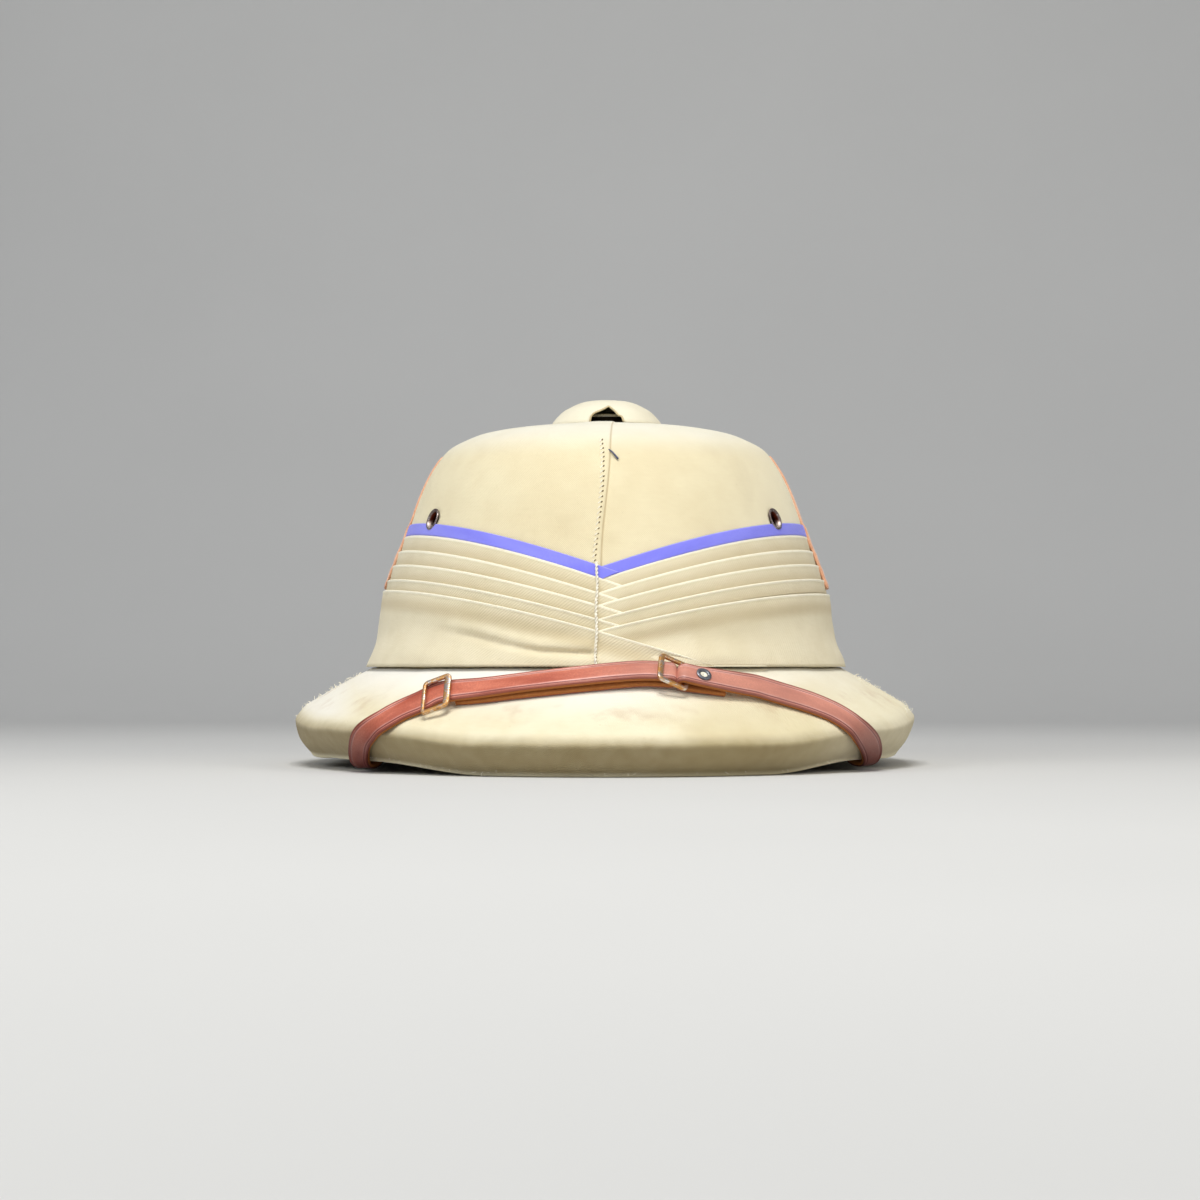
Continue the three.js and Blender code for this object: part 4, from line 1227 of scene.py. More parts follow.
def tube(path, radius_mm, sides=8):
    """A closed round tube along points, in metres. radius_mm may be one value or one for each point."""
    path = [Vector(p) for p in path]
    radii = np.broadcast_to(np.asarray(radius_mm, float), (len(path),))
    columns, maps = [], []
    side = None
    length = 0
    for i, point in enumerate(path):
        ahead = (path[min(i + 1, len(path) - 1)] - path[max(i - 1, 0)]).normalized()
        if side is None:
            side = ahead.orthogonal().normalized()
        side = (side - ahead * side.dot(ahead)).normalized()
        up = ahead.cross(side)
        ring = []
        for k in range(sides):
            turn = 2 * math.pi * k / sides
            ring.append(point + (side * math.cos(turn) + up * math.sin(turn)) * float(radii[i]) * MM)
        columns.append(ring)
        length += (point - path[i - 1]).length / MM if i else 0
        maps.append([(length, k * 0.5) for k in range(sides + 1)])
    return skin(columns, maps)


def cap_surface(x, z):
    """A point on the front of the cap at a width and a height."""
    radius = float(np.interp(z - CAP_SEAT_Z, cap_curve[:, 1], cap_curve[:, 0]))
    depth = math.sqrt(max(0, radius * radius - x * x))
    return Vector((x, -depth - CROWN_FORWARD, z)) * MM


hem_path = [cap_surface(x, CAP_SEAT_Z + up) for x, up in smooth_run(GAP_OUTLINE, 4)]
gap_hem = add_mesh("gap_hem", *tube(hem_path, 0.42))
face_out(gap_hem)
cap_finish = cotton(
    "cap_cloth", rgb(239, 233, 210), rgb(232, 224, 198), rgb(206, 192, 160), soil_amount=0.2)
# The hem's browner cotton is painted shade where the cloth turns in.
hem_shade_finish = cotton(
    "cap_hem_painted_shade", rgb(216, 200, 160), rgb(184, 162, 120), rgb(140, 110, 76), soil_amount=0.6)
settle(vent_cap, cap_finish, "crown_cloth", "vent_cap")
settle(gap_hem, hem_shade_finish, "crown_cloth")

# %% [markdown]
# ## Metal
# Four metals are on the helmet: dark bronze eyelets, worn brass buckles and studs, a grey steel grommet and
# the tin of the collar. All of them share one recipe: a base tone, a second tone where the surface has
# worn, broken by noise at the size of scratches and pits, and a roughness that follows the wear. Four
# separate materials would do too, but one function keeps their wear alike.

# %% Metal finish
# Roughness of metal that is rubbed bright, and of metal that is not
BRIGHT_ROUGH = 0.28
PLAIN_ROUGH = 0.55


def worn_metal(name, base, worn, tarnish, wear):
    finish = Finish(name)
    cloud = finish.noise(3.2, 4)
    pits = finish.noise(0.5, 3)
    scratch = finish.noise(0.35, 2, stretch=(0.08, 1, 1))
    rubbed = (cloud * 0.6 + scratch * 0.4).step(0.62 - wear * 0.3, 0.72 - wear * 0.2)
    dull = finish.noise(1.6, 4).step(0.55, 0.7)
    finish.set(
        Base_Color=(dull * 0.6).blend(rubbed.blend(base, worn), tarnish),
        Metallic=1 - dull * 0.35,
        Roughness=PLAIN_ROUGH - rubbed * (PLAIN_ROUGH - BRIGHT_ROUGH) + dull * 0.15,
        Normal=finish.bump(pits * 0.6 + scratch * 0.4, 0.06),
    )
    return finish


bronze = worn_metal("eyelet_bronze", rgb(122, 108, 104), rgb(196, 186, 184), rgb(72, 58, 52), 0.5)
brass = worn_metal("buckle_brass", rgb(204, 154, 92), rgb(216, 214, 214), rgb(132, 88, 46), 0.5)
steel = worn_metal("grommet_steel", rgb(112, 114, 122), rgb(160, 162, 168), rgb(84, 80, 78), 0.4)
collar_tin = worn_metal("collar_tin", rgb(196, 190, 176), rgb(226, 220, 206), rgb(120, 110, 96), 0.6)
print("metal finishes ready")

# %% Collar under the cap
COLLAR_SIDES = 64
collar_rows = [
    (14.6, 152.75), (16, 152.75), (16, 156.4), (15.8, 156.7), (15.3, 156.85), (14.8, 156.7), (14.6, 156.4)]
vent_collar = add_mesh(
    "vent_collar_ring",
    *skin(turned(collar_rows, COLLAR_SIDES), turned_maps(collar_rows, COLLAR_SIDES), ring=True))
face_out(vent_collar)
# Below its rim the collar is painted near black, as shade under the cap.
above_painted_shade = collar_tin.z.step(0.1554, 0.1558)
collar_tin.set(Base_Color=above_painted_shade.blend(rgb(24, 20, 15), collar_tin.colour()), Metallic=0.1)
settle(vent_collar, collar_tin, "grommet_steel", "vent_collar")

# %% [markdown]
# ## Eyelets
# Each eyelet is a pressed tube with a rolled rim, set through the cover at the edge of the tape. A profile
# turned about the dome's outward direction makes it. The throat narrows inwards; its lower half faces the
# light and gets a painted highlight, while the tube behind it is dark and rusty.

# %% Eyelet rust and painted highlight


def eyelet_rust_and_painted_highlight(finish):
    """A painted highlight on the lower throat and a rusty tube, by height and by the map's place along the
    profile.
    """
    rusty = finish.across.step(2.75, 3.1)
    colour = rusty.blend(finish.colour(), rgb(92, 36, 20))
    throat = finish.across.step(2.3, 2.6) * (1 - finish.across.step(3.3, 3.42))
    # Painted highlight on the lower half of the throat, which faces the light.
    painted_throat_highlight = throat * (1 - finish.z.step(0.1045, 0.1075)) * (finish.noise(0.8, 3) * 0.4 + 0.6)
    finish.set(Base_Color=painted_throat_highlight.blend(colour, rgb(234, 222, 214)))


eyelet_rust_and_painted_highlight(bronze)
print("eyelet wear ready")

# %% Turned fittings


def fitting(name, rows, place, along, outward, sides=48):
    """A closed ring from rows of radius and height, standing on a place and looking outward."""
    across = outward.cross(along).normalized()
    along = across.cross(outward).normalized()
    columns, maps = [], []
    for i in range(sides + 1):
        turn = 2 * math.pi * i / sides
        spoke = along * math.cos(turn) + across * math.sin(turn)
        if i < sides:
            columns.append([place + (spoke * r + outward * up) * MM for r, up in rows])
        maps.append([(i * 0.4, k * 0.3) for k in range(len(rows) + 1)])
    part = add_mesh(name, *skin(columns, maps, ring=True))
    face_out(part)
    return part


EYELET_ROWS = [
    (3.2, -5), (3.7, -5), (3.7, 0.2), (4.4, 0.15), (4.75, 0.2), (4.95, 0.45), (4.85, 0.8), (4.55, 1.0),
    (4.2, 0.95), (3.85, 0.7), (3.5, 0.1), (3.3, -0.6)]
for side, turn in EYELET_ANGLES.items():
    point, along, outward = place_on_crown(turn, EYELET_Z, 0.3)
    eyelet = fitting(f"eyelet_{side}_ring", EYELET_ROWS, point, along, outward)
    settle(eyelet, bronze, "eyelet_bronze", f"eyelet_{side}")

# %% [markdown]
# ## Side patches
# A patch of salmon wool is sewn flat on each side of the dome, over the tape and the folds. From the front
# only its edge shows. It follows what lies under it a hair's breadth away, and its edge turns in to what it
# is sewn to, so it reads as thick felted cloth. Each patch is cut 43 mm wide and 60 mm high.

# %% Patch mesh
PATCH_FRONT = math.radians(82.3)
PATCH_BACK = math.radians(103.5)
PATCH_TOP_Z = 138
PATCH_BOTTOM_Z = 78.6
PATCH_THICK = 0.85
PATCH_AROUND = 38
# Height, and how far the tape and the folds under the patch stand off the dome there
PATCH_UNDER = [
    (138, 0.15), (112, 0.2), (107.6, 0.4), (106.4, 1.0), (101.8, 1.1), (98, 1.3), (95.6, 1.65), (94, 2.05),
    (89.4, 2.2), (87.6, 2.65), (83, 2.85), (81, 3.35), (78.4, 3.45)]
under_z, under_off = zip(*reversed(PATCH_UNDER))


def patch_column(angle, edge):
    """One upright section of the patch, thinner and softer at its edges."""
    outer, inner = [], []
    for share in np.linspace(0, 1, 40):
        z = PATCH_TOP_Z + (PATCH_BOTTOM_Z - PATCH_TOP_Z) * share
        spot = off_crown(angle, z, 0)
        off = float(np.interp(z, under_z, under_off)) + uneven(spot, 34, 0.35) + uneven(spot, 9, 0.08)
        rim = min(edge, ease(0, 0.03, share), ease(1, 0.97, share))
        thick = PATCH_THICK * (0.5 + 0.5 * rim) + uneven(spot, 6, 0.08)
        outer.append(off_crown(angle, z, off + thick))
        inner.append(off_crown(angle, z, off - 0.9 * (1 - rim)))
    return outer + inner[::-1]


wool = Finish("flash_cloth")
felt = wool.noise(0.9, 5)
wool_tone = (wool.noise(8, 3) * 0.5 + felt * 0.5).step(0.3, 0.7)
wool.set(
    Base_Color=(wool.noise(20, 2).step(0.5, 0.75) * 0.35).blend(
        wool_tone.blend(rgb(214, 150, 114), rgb(240, 186, 150)), rgb(244, 212, 184)),
    Roughness=felt * 0.1 + 0.85,
    Normal=wool.bump(felt, 0.25),
    Sheen_Weight=0.35,
    Sheen_Roughness=0.5,
)
for side, sign in (("left", -1), ("right", 1)):
    columns, maps = [], []
    for share in np.linspace(0, 1, 27):
        angle = sign * (PATCH_FRONT + (PATCH_BACK - PATCH_FRONT) * share)
        column = patch_column(angle, min(ease(0, 0.06, share), ease(1, 0.94, share)))
        columns.append(column)
        maps.append([(share * PATCH_AROUND, k * 1.5) for k in range(len(column) + 1)])
    patch = add_mesh(f"side_patch_{side}", *skin(columns, maps))
    face_out(patch)
    settle(patch, wool, "flash_cloth", f"side_flash_{side}")

# %% [markdown]
# ## The chin strap
# A reddish-brown leather strap is laid over the front of the brim. It comes from a stud under one side,
# goes round the edge of the brim, over the front, back on itself at the right buckle, and the second half
# goes round the other side. It is held all the way, so it is laid along a route of places on the brim's
# outline instead of being simulated, and a section with tooled lines and rounded edges is carried along it.

# %% Places on the brim's outline
STRAP_THICK = 2.1


def brim_spot(angle, around):
    """0 to 1 runs down the upper face, 1 to 2 down the turned edge, and past 2 back under the brim."""
    reach, lower, crease, at = brim_plane(angle)
    foot = reach - EDGE_TUCK
    keys = [-0.3, 0, 1, 1.25, 2, 2.2, 3.2]
    turned = EDGE_ROUND / 6
    alongs = [-0.3 * reach, 0, reach - turned, reach, foot, foot - EDGE_BEVEL - EDGE_LAND, 0]
    heights = [
        BRIM_TOP_Z + 0.3 * (BRIM_TOP_Z - crease), BRIM_TOP_Z, crease - turned, crease - EDGE_ROUND, lower,
        lower, BRIM_UNDER_Z]
    return at(float(np.interp(around, keys, alongs)), float(np.interp(around, keys, heights)))


def brim_place(angle, around, lift):
    """A point that stands off the brim's outline, and the way out of the outline there."""
    turn = math.radians(1)
    across = brim_spot(angle + turn, around) - brim_spot(angle - turn, around)
    down = brim_spot(angle, around + 0.12) - brim_spot(angle, around - 0.12)
    outward = down.cross(across).normalized()
    return brim_spot(angle, around) + outward * lift, outward


print("front edge of the brim at, in mm:", [round(v, 1) for v in brim_spot(0, 1)])

# %% The strap's route
# Angle in degrees, place round the outline, and how far the leather's middle stands off the brim
STRAP_LEFT = [
    (-80, 3, 1.6), (-70, 2.86, 1.6), (-53, 2.45, 2.5), (-49.4, 2.14, 2.4), (-47.8, 1.85, 1.8),
    (-44.1, 1.37, 2.1), (-40.6, 1.12, 2.4), (-38.3, 0.985, 3.2), (-35.9, 0.825, 4), (-32.6, 0.68, 4.6),
    (-30.4, 0.585, 5.7), (-27.4, 0.53, 6.1), (-21.1, 0.455, 5.8), (-13.3, 0.37, 5.7), (2, 0.262, 6.3),
    (10, 0.232, 6.6), (15, 0.262, 6.8)]
STRAP_RIGHT = [
    (17.7, 0.305, 7.8), (20.6, 0.34, 7.3), (28.9, 0.385, 5.5), (33.4, 0.425, 4.8), (41.3, 0.625, 4.2),
    (45.6, 0.815, 3.9), (47.9, 0.965, 3.1), (50.3, 1.16, 2.1), (55.5, 1.49, 1.85), (59.8, 1.87, 1.8),
    (61.4, 2.14, 2.2), (64, 2.42, 2.4), (68, 2.64, 1.9), (73.5, 2.84, 1.6), (80, 3, 1.6)]


def strap_lean(angle, around):
    """The leather leans to the dome: a little over the front, more where it slants down each side."""
    return math.radians(8 + 15 * ease(18, 32, abs(angle))) * (1 - ease(0.95, 1.3, around))


FACING_PASSES = 24
POINT_PASSES = 10


def strap_run(rows):
    """Places along a route: point, way out of the leather's face, angle and direction. Both are evened out,
    because stiff leather takes the brim's crease in a wide bend."""
    steps = smooth_run([(a, around * 100, lift) for a, around, lift in rows], 8)
    spots = [brim_place(math.radians(a), around / 100, lift) for a, around, lift in steps]
    run = []
    for i, ((point, outward), (angle, around, _)) in enumerate(zip(spots, steps)):
        ahead = (spots[min(i + 1, len(spots) - 1)][0] - spots[max(i - 1, 0)][0]).normalized()
        facing = (outward - ahead * outward.dot(ahead)).normalized()
        facing = Matrix.Rotation(strap_lean(angle, around / 100), 3, ahead) @ facing
        run.append([point, facing, angle, ahead])
    for passing in range(FACING_PASSES):
        points, facings = [place[0] for place in run], [place[1] for place in run]
        for i in range(1, len(run) - 1):
            run[i][1] = (facings[i - 1] + facings[i] * 2 + facings[i + 1]).normalized()
            if passing < POINT_PASSES:
                run[i][0] = (points[i - 1] + points[i] * 2 + points[i + 1]) / 4
    return run


left_run = strap_run(STRAP_LEFT)
right_run = strap_run(STRAP_RIGHT)
print("left strap places:", len(left_run), "right strap places:", len(right_run))

# %% Second layers and folds


def run_place(run, degrees):
    """The place on a run at an angle."""
    angles = [place[2] for place in run]
    after = next(i for i, a in enumerate(angles) if a >= degrees and i)
    (p0, n0, a0, _), (p1, n1, a1, _) = run[after - 1], run[after]
    share = (degrees - a0) / (a1 - a0)
    ahead = (p1 - p0).normalized()
    facing = n0.lerp(n1, share)
    return p0.lerp(p1, share), (facing - ahead * facing.dot(ahead)).normalized(), ahead


def under_layer(run, rows):
    """Places below a run, sunk by a drop and slipped towards the brim's edge."""
    places = []
    for degrees, drop, slip in rows:
        point, facing, ahead = run_place(run, degrees)
        places.append((point - facing * drop + ahead.cross(facing) * slip, -facing))
    return places


def strap_fold(place, onward, drop):
    """The leather turning back on itself."""
    point, facing = place[:2]
    middle = point - facing * (drop / 2)
    places = []
    for turn in np.linspace(0, math.pi, 9):
        out = facing * math.cos(turn) + onward * math.sin(turn)
        places.append((middle + out * (drop / 2), out))
    return places


# Angle in degrees, drop below the upper layer and slip towards the brim's edge
return_rows = smooth_run(
    [(10.5, 3.2, 0.3), (0, 3.2, 0.6), (-10, 2.9, 0.7), (-19, 2.7, 0.5), (-26.6, 2.7, 0)], 6)
tail_rows = smooth_run([(25.8, 2.8, 0.5), (22, 3.5, 0.2)], 6)
LEFT_FOLD_DROP = 3.2
RIGHT_FOLD_DROP = 4.8
left_places = [place[:2] for place in left_run[:-1]]
left_places += strap_fold(left_run[-1], left_run[-1][3], LEFT_FOLD_DROP) + under_layer(left_run, return_rows)
right_places = under_layer(right_run, tail_rows)
right_places += strap_fold(right_run[0], -right_run[0][3], RIGHT_FOLD_DROP)[::-1]
right_places += [place[:2] for place in right_run[1:]]
print("places with their second layers:", len(left_places), len(right_places))

# %% Leather section carried along the places
STRAP_TOP = [
    (-5.3, 0.35), (-5.22, 0.72), (-5.0, 0.94), (-4.65, 1.03), (-4.3, 1.02), (-4.1, 0.86), (-3.9, 0.8),
    (-3.7, 0.88), (-3.5, 1.05), (-2.4, 1.1), (0, 1.13)]
STRAP_TOP += [(-s, h) for s, h in reversed(STRAP_TOP[:-1])]
STRAP_UNDER = [
    (5.3, -0.6), (5.05, -1.0), (2.6, -1.06), (0, -1.06), (-2.6, -1.06), (-5.05, -1.0), (-5.3, -0.6)]


def carry_strap(name, places, wobble):
    section = STRAP_TOP + STRAP_UNDER
    columns, maps = [], []
    length = 0
    for i, (point, facing) in enumerate(places):
        ahead = (places[min(i + 1, len(places) - 1)][0] - places[max(i - 1, 0)][0]).normalized()
        side = ahead.cross(facing).normalized()
        up = side.cross(ahead)
        length += (point - places[i - 1][0]).length if i else 0
        column = []
        for s, h in section:
            spot = point + side * s + up * h
            rough = uneven(spot * MM, 7, 0.1) + uneven(spot * MM, 2.2, 0.05)
            wide = 1 + 0.02 * noise.noise(Vector((length * 0.06, wobble, s)))
            column.append((point + side * s * wide + up * (h + rough * (1 if h > 0 else 0.4))) * MM)
        columns.append(column)
        tops = [(length, s) for s, h in STRAP_TOP]
        maps.append(tops + [(length, 12 + s) for s, h in STRAP_UNDER] + tops[:1])
    piece = add_mesh(name, *skin(columns, maps))
    face_out(piece)
    print(name, "length:", round(length, 1), "mm")
    return piece


strap_left = carry_strap("strap_left_leather", left_places, 1.0)
strap_right = carry_strap("strap_right_leather", right_places, 5.0)

# %% [markdown]
# The leather is bridle hide: a fine pebbled grain, a waxed shine, darker burnished edges and one tooled
# line along each edge, with a pinkish painted sheen where the leather stands proud beside it. Its cut sides
# and underside are raw. The second half is duller than the first, and where the strap turns down round the
# brim's edge it faces away from the top lamp and is darkened with painted shade. The map's second value is
# the distance from the middle, so edges and lines are drawn from it.

# %% Leather finish
leather = Finish("strap_leather")
grain_cells = leather.map.node(
    "ShaderNodeTexVoronoi", {"feature": "SMOOTH_F1"},
    {"Vector": leather.map, "Scale": 1.5, "Randomness": 1.0})
from_middle = leather.map.math("ABSOLUTE", leather.across)
grain = leather.noise(0.8, 4, leather.map) * 0.6 + grain_cells * 0.5
rubs = leather.noise(9, 4, leather.map, (0.3, 1.4, 1))
suede = leather.across.step(6, 6.5)
burnish = from_middle.step(4.05, 4.75)
tooled = from_middle.step(3.3, 3.5) * (1 - from_middle.step(3.8, 4.0))
painted_sheen = from_middle.step(2.6, 3.25) * (1 - from_middle.step(3.35, 3.5)) + from_middle.step(3.9, 4.0) * (
    1 - from_middle.step(4.15, 4.4))
hide = rubs.step(0.3, 0.7).blend(rgb(180, 86, 62), rgb(226, 134, 106))
hide = (grain.step(0.25, 0.7) * 0.3).blend(hide, rgb(150, 66, 48))
dull = leather.x.step(-0.015, 0.035)
hide = (dull * 0.4).blend(hide, rgb(206, 166, 152))
# Painted sheen: pale pink where the leather stands proud beside each tooled line.
hide = (painted_sheen * rubs.step(0.3, 0.6) * 0.6).blend(hide, rgb(230, 180, 172))
hide = (tooled * 0.75).blend(hide, rgb(116, 60, 58))
hide = (burnish * 0.75).blend(hide, rgb(120, 50, 34))
# Painted shade: low on the brim's turned edge the strap faces down and is darkened; its coat is also duller
# there.
painted_low_shade = 1 - leather.z.step(0.004, 0.03)
hide = (painted_low_shade * 0.8).blend(hide, rgb(88, 18, 8))
hide = suede.blend(hide, leather.noise(1.5, 5, leather.map).blend(rgb(142, 80, 34), rgb(190, 120, 60)))
leather.set(
    Base_Color=hide,
    Roughness=grain * 0.2 + 0.34 + suede * 0.4 + painted_low_shade * 0.15,
    Normal=leather.bump(grain, 0.14, leather.bump(rubs, 0.2)),
    Coat_Weight=(1 - suede) * (0.36 - painted_low_shade * 0.3),
    Coat_Roughness=0.3,
    Specular_IOR_Level=0.35,
)
print("leather nodes:", len(leather.tree.nodes))

# %% [markdown]
# One hole goes through the right half of the strap, and it is drilled before the grommet goes in.

# %% Drill and settle the straps
grommet_point, grommet_facing, grommet_ahead = run_place(right_run, 20.6)
drill(strap_right, grommet_point * MM, grommet_facing, 2.2, 6)
settle(strap_left, leather, "strap_leather", "strap_left")
settle(strap_right, leather, "strap_leather", "strap_right")

# %% [markdown]
# ## Buckles, grommet and studs
# Each buckle is a rectangular frame of brass strip with softened corners, worn to bright metal in places,
# and its bars differ in width. The frame is a closed loop with an almost square section; going round a
# rounded rectangle point by point keeps its corners soft, which a cut-out plate would not.

# %% Buckle frames
BUCKLE_HIGH = 12.6
BUCKLE_THICK = 1.5
BUCKLE_CORNER = 1.4


def squared(turn, half):
    """One side of a circle with flattened sides, of a half width."""
    return half * math.copysign(abs(turn) ** 0.6, turn)


def buckle(name, left_bar, right_bar, facing, widths, slant=0.0, drop=0.0):
    """A frame whose upright bars have their middles at two points. widths: left bar, right bar, rails. slant
    leans the bars, and drop slides the frame down across the strap."""
    along = (right_bar - left_bar).normalized()
    across = facing.cross(along).normalized()
    normal = along.cross(across)
    middle = (left_bar + right_bar) / 2 - across * drop
    half_long = (right_bar - left_bar).length / 2
    half_high = BUCKLE_HIGH / 2 + 0.8
    loop = []
    for sx, sy, start in ((1, 1, 0), (-1, 1, 90), (-1, -1, 180), (1, -1, 270)):
        for step in range(7):
            turn = math.radians(start + 15 * step)
            loop.append((
                sx * (half_long - BUCKLE_CORNER) + BUCKLE_CORNER * math.cos(turn),
                sy * (half_high - BUCKLE_CORNER) + BUCKLE_CORNER * math.sin(turn),
                math.cos(turn), math.sin(turn)))
    fine = []
    for i, here in enumerate(loop):
        after = loop[(i + 1) % len(loop)]
        for share in np.linspace(0, 1, 5, endpoint=False):
            fine.append([h + (a - h) * share for h, a in zip(here, after)])
    columns, maps = [], []
    length = 0
    for i, (x, y, ox, oy) in enumerate(fine + fine[:1]):
        upright = abs(ox) / (abs(ox) + abs(oy))
        wide = upright * (widths[0] if x < 0 else widths[1]) + (1 - upright) * widths[2]
        section = [
            (squared(math.cos(turn), wide / 2), squared(math.sin(turn), BUCKLE_THICK / 2))
            for turn in np.linspace(0, 2 * math.pi, 16, endpoint=False)]
        if i < len(fine):
            columns.append([
                (middle + along * (x + ox * a) + (across + along * slant) * (y + oy * a) + normal * b) * MM
                for a, b in section])
        length += 0.5
        maps.append([(length, k * 0.3) for k in range(len(section) + 1)])
    frame_piece = add_mesh(name, *skin(columns, maps, ring=True))
    face_out(frame_piece)
    return frame_piece


def bar_over(run, degrees):
    """Where a bar lies over the strap."""
    point, facing, _ = run_place(run, degrees)
    return point + facing * (STRAP_THICK / 2 + 1.45)


print("buckle height:", BUCKLE_HIGH, "mm")

# %% Set both buckles
buckle_left = buckle(
    "buckle_left_frame", bar_over(left_run, -32), bar_over(left_run, -28), run_place(left_run, -30)[1],
    (1.6, 2.9, 1.9), 0.19, 1.4)
right_start = right_run[0]
fold_middle = right_start[0] - right_start[1] * (RIGHT_FOLD_DROP / 2) + right_start[3] * 0.9
buckle_right = buckle(
    "buckle_right_frame", bar_over(left_run, 13), fold_middle, right_start[1], (2.4, 1.6, 2.0))
settle(buckle_left, brass, "buckle_brass", "buckle_left")
settle(buckle_right, brass, "buckle_brass", "buckle_right")

# %% [markdown]
# The grommet's ring is dark, and its middle is closed by a small cup with worn cream enamel, the brightest
# spot on the leather.

# %% Grommet and studs
cup_enamel = Finish("cup_enamel")
enamel_chips = cup_enamel.noise(0.9, 4).step(0.62, 0.7)
cup_enamel.set(
    Base_Color=enamel_chips.blend(rgb(250, 244, 222), rgb(176, 156, 120)),
    Roughness=enamel_chips * 0.3 + 0.35,
    Normal=cup_enamel.bump(enamel_chips, 0.05),
)
GROMMET_ROWS = [
    (1.6, -2.6), (1.95, -2.6), (1.95, 0.05), (2.75, 0), (3.1, 0.1), (3.22, 0.32), (3.05, 0.58), (2.6, 0.72),
    (2.15, 0.74), (1.8, 0.62), (1.6, 0.35)]
CUP_ROWS = [(0.02, -0.55), (1.5, -0.5), (1.55, -0.2), (1.5, 0.1), (1.2, 0.05), (0.02, 0)]
STUD_ROWS = [
    (0.02, 2.4), (1.5, 2.35), (2.8, 2.1), (3.5, 1.7), (3.6, 1.45), (3.4, 1.25), (1.5, 1.2), (1.5, -1.0),
    (0.02, -1.0)]
STUD_INSET = 6
grommet_seat = (grommet_point + grommet_facing * (STRAP_THICK / 2 + 0.15)) * MM
grommet = fitting("strap_grommet_ring", GROMMET_ROWS, grommet_seat, grommet_ahead, grommet_facing)
settle(grommet, steel, "grommet_steel", "strap_grommet")
grommet_cup = fitting("grommet_cup", CUP_ROWS, grommet_seat, grommet_ahead, grommet_facing, 32)
settle(grommet_cup, cup_enamel, "grommet_steel")
for side, strap_end, inset in (("left", left_run[0], STUD_INSET), ("right", right_run[-1], -STUD_INSET)):
    point, facing, _, ahead = strap_end
    stud = fitting(f"stud_{side}_head", STUD_ROWS, (point + ahead * inset) * MM, ahead, facing, 32)
    settle(stud, brass, "buckle_brass", f"strap_stud_{side}")

# %% [markdown]
# ## Loose fibres
# The cover has frayed. Short cotton fibres stand up along the brim's shoulders and at its left edge, where
# they show against the light, and specks of lint hang on the lower edge. One recipe makes them all: it
# walks a guide line, skips some steps, and sets a short curved fibre with a turn and a size of its own at
# the others. The guide lines wander, so that the fibres don't stand in rows. Hair strands could do this
# too, but the recipe gives closed meshes that leave Blender as they are.

# %% Fibre recipe
fibre = Recipe("loose_fibres", Spacing=0.0008, Length=0.0018, Kept=0.5, Seed=11)
seeds = [fibre.maths("ADD", fibre.size["Seed"], float(more)) for more in range(5)]
fibre_turn = fibre.lean(
    fibre.stand(), x=fibre.scatter(-0.7, 0.7, seeds[0]), y=fibre.scatter(-0.7, 0.7, seeds[1]),
    z=fibre.scatter(-3.1, 3.1, seeds[2]))
fibre_size = fibre.maths("MULTIPLY", fibre.size["Length"], fibre.scatter(0.35, 1.2, seeds[3]))
fibre_kept = fibre.maths("LESS_THAN", fibre.scatter(0.0, 1.0, seeds[4]), fibre.size["Kept"])
fibre_bend = fibre.node("GeometryNodeCurveQuadraticBezier", values={
    "Resolution": 6, "Start": (0, 0, -0.1), "Middle": (0.1, 0, 0.7), "End": (0.7, 0.1, 0.8)})
fibre_ring = fibre.node("GeometryNodeCurvePrimitiveCircle", values={"Resolution": 5, "Radius": 0.06})
fibre_shape = fibre.node(
    "GeometryNodeCurveToMesh", values={"Curve": fibre_bend, "Profile Curve": fibre_ring, "Fill Caps": True})
fibre_shapes = fibre.node("GeometryNodeInstanceOnPoints", values={
    "Points": fibre.walk("Spacing"), "Selection": fibre_kept, "Instance": fibre_shape, "Rotation": fibre_turn,
    "Scale": fibre_size})
fibre.end(fibre_shapes)
print("fibre nodes:", len(fibre.tree.nodes))

# %% Fibres on the brim
SHOULDER_TURNS = (78, 81, 83.5, 85.5, 87, 88.5, 90, 92, 94.5, 97.5)
LEFT_EDGE_COLUMNS = range(174, 188, 3)
LINT_PLACE = 1.88


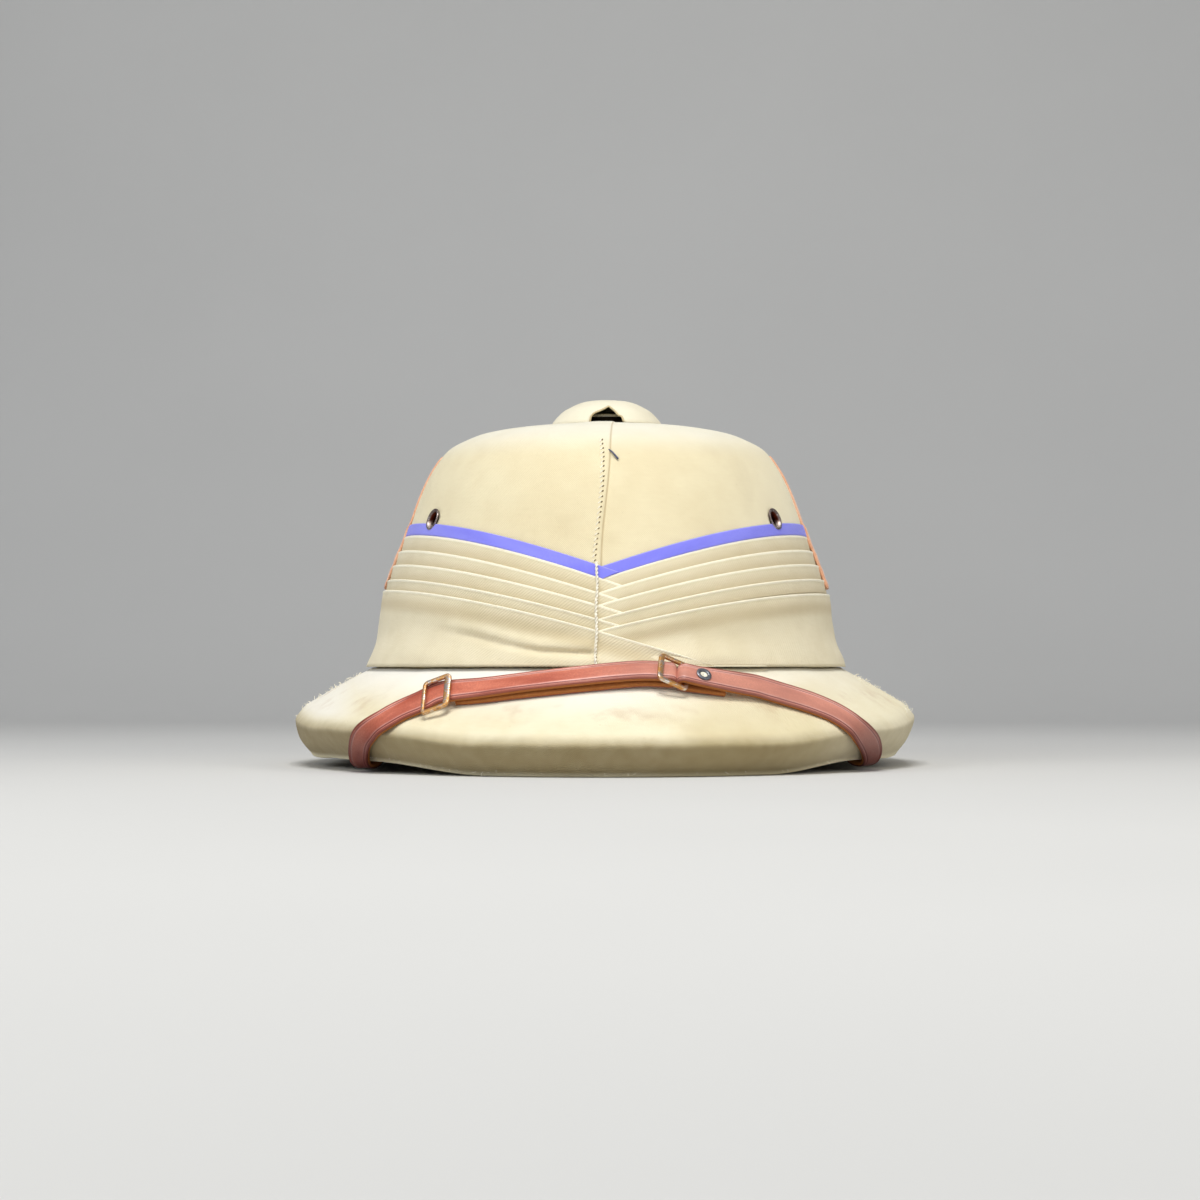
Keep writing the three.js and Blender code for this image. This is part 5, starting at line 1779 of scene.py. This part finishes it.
def brim_line(angles, arounds):
    """A guide line over the brim, from its angles and its places round the outline."""
    places = [brim_place(math.radians(a), r, 0.2) for a, r in zip(angles, arounds)]
    return guide_line([point * MM for point, _ in places], [out for _, out in places])


fibre_guides = []
shoulder = np.linspace(0.2, 0.98, 40)
for seed, turn in enumerate(SHOULDER_TURNS):
    for side, kept, length in ((-1, 0.3, 0.0021), (1, 0.2, 0.0018)):
        wander = turn + 1.6 * np.sin(shoulder * 11 + seed * 2.4) + 0.8 * np.sin(shoulder * 29 + seed)
        fibre_guides.append((
            brim_line(side * wander, shoulder),
            {"Seed": 20 + 14 * seed + 7 * (side > 0), "Kept": kept, "Length": length}))
for seed, column in enumerate(LEFT_EDGE_COLUMNS):
    edge = brim_columns[column][CREASE_ROW + 2:CREASE_ROW + 17]
    fibre_guides.append((
        guide_line(edge, [Vector((-1, 0, -0.3)).normalized()] * len(edge)),
        {"Seed": 300 + 9 * seed, "Kept": 0.3, "Length": 0.0015}))
lower_turns = np.linspace(-48, 48, 90)
fibre_guides.append((
    brim_line(lower_turns, np.full(len(lower_turns), LINT_PLACE)),
    {"Seed": 90, "Spacing": 0.0031, "Length": 0.0015, "Kept": 0.45}))
fibre_parts = [grow("fibres", guide, fibre, **sizes) for guide, sizes in fibre_guides]
loose_fibres = join("brim_fibres", fibre_parts)
settle(loose_fibres, thread, "seam_cord")

# %% [markdown]
# One end of slate-blue thread has been left hanging out of the seam near the top. It is a short tube that
# stands a little off the cloth and is thicker at its loose end.

# %% Thread end
slate = Finish("slate_thread")
slate_ply = slate.noise(0.4, 3)
slate.set(
    Base_Color=slate_ply.blend(rgb(58, 62, 84), rgb(112, 116, 140)), Roughness=slate_ply * 0.1 + 0.8,
    Normal=slate.bump(slate_ply, 0.1))
end_rows = [(4.0, 134.5, 0.4), (5.0, 133.5, 0.8), (6.0, 132.4, 0.9), (7.0, 131.3, 0.8), (8.0, 130.2, 0.6)]
end_path = smooth_run([
    place_on_crown(x / crown_half(z), z, off)[0] for x, z, off in end_rows], 5)
thread_end = add_mesh("thread_end", *tube(end_path, np.linspace(0.28, 0.44, len(end_path))))
face_out(thread_end)
settle(thread_end, slate, "seam_cord")
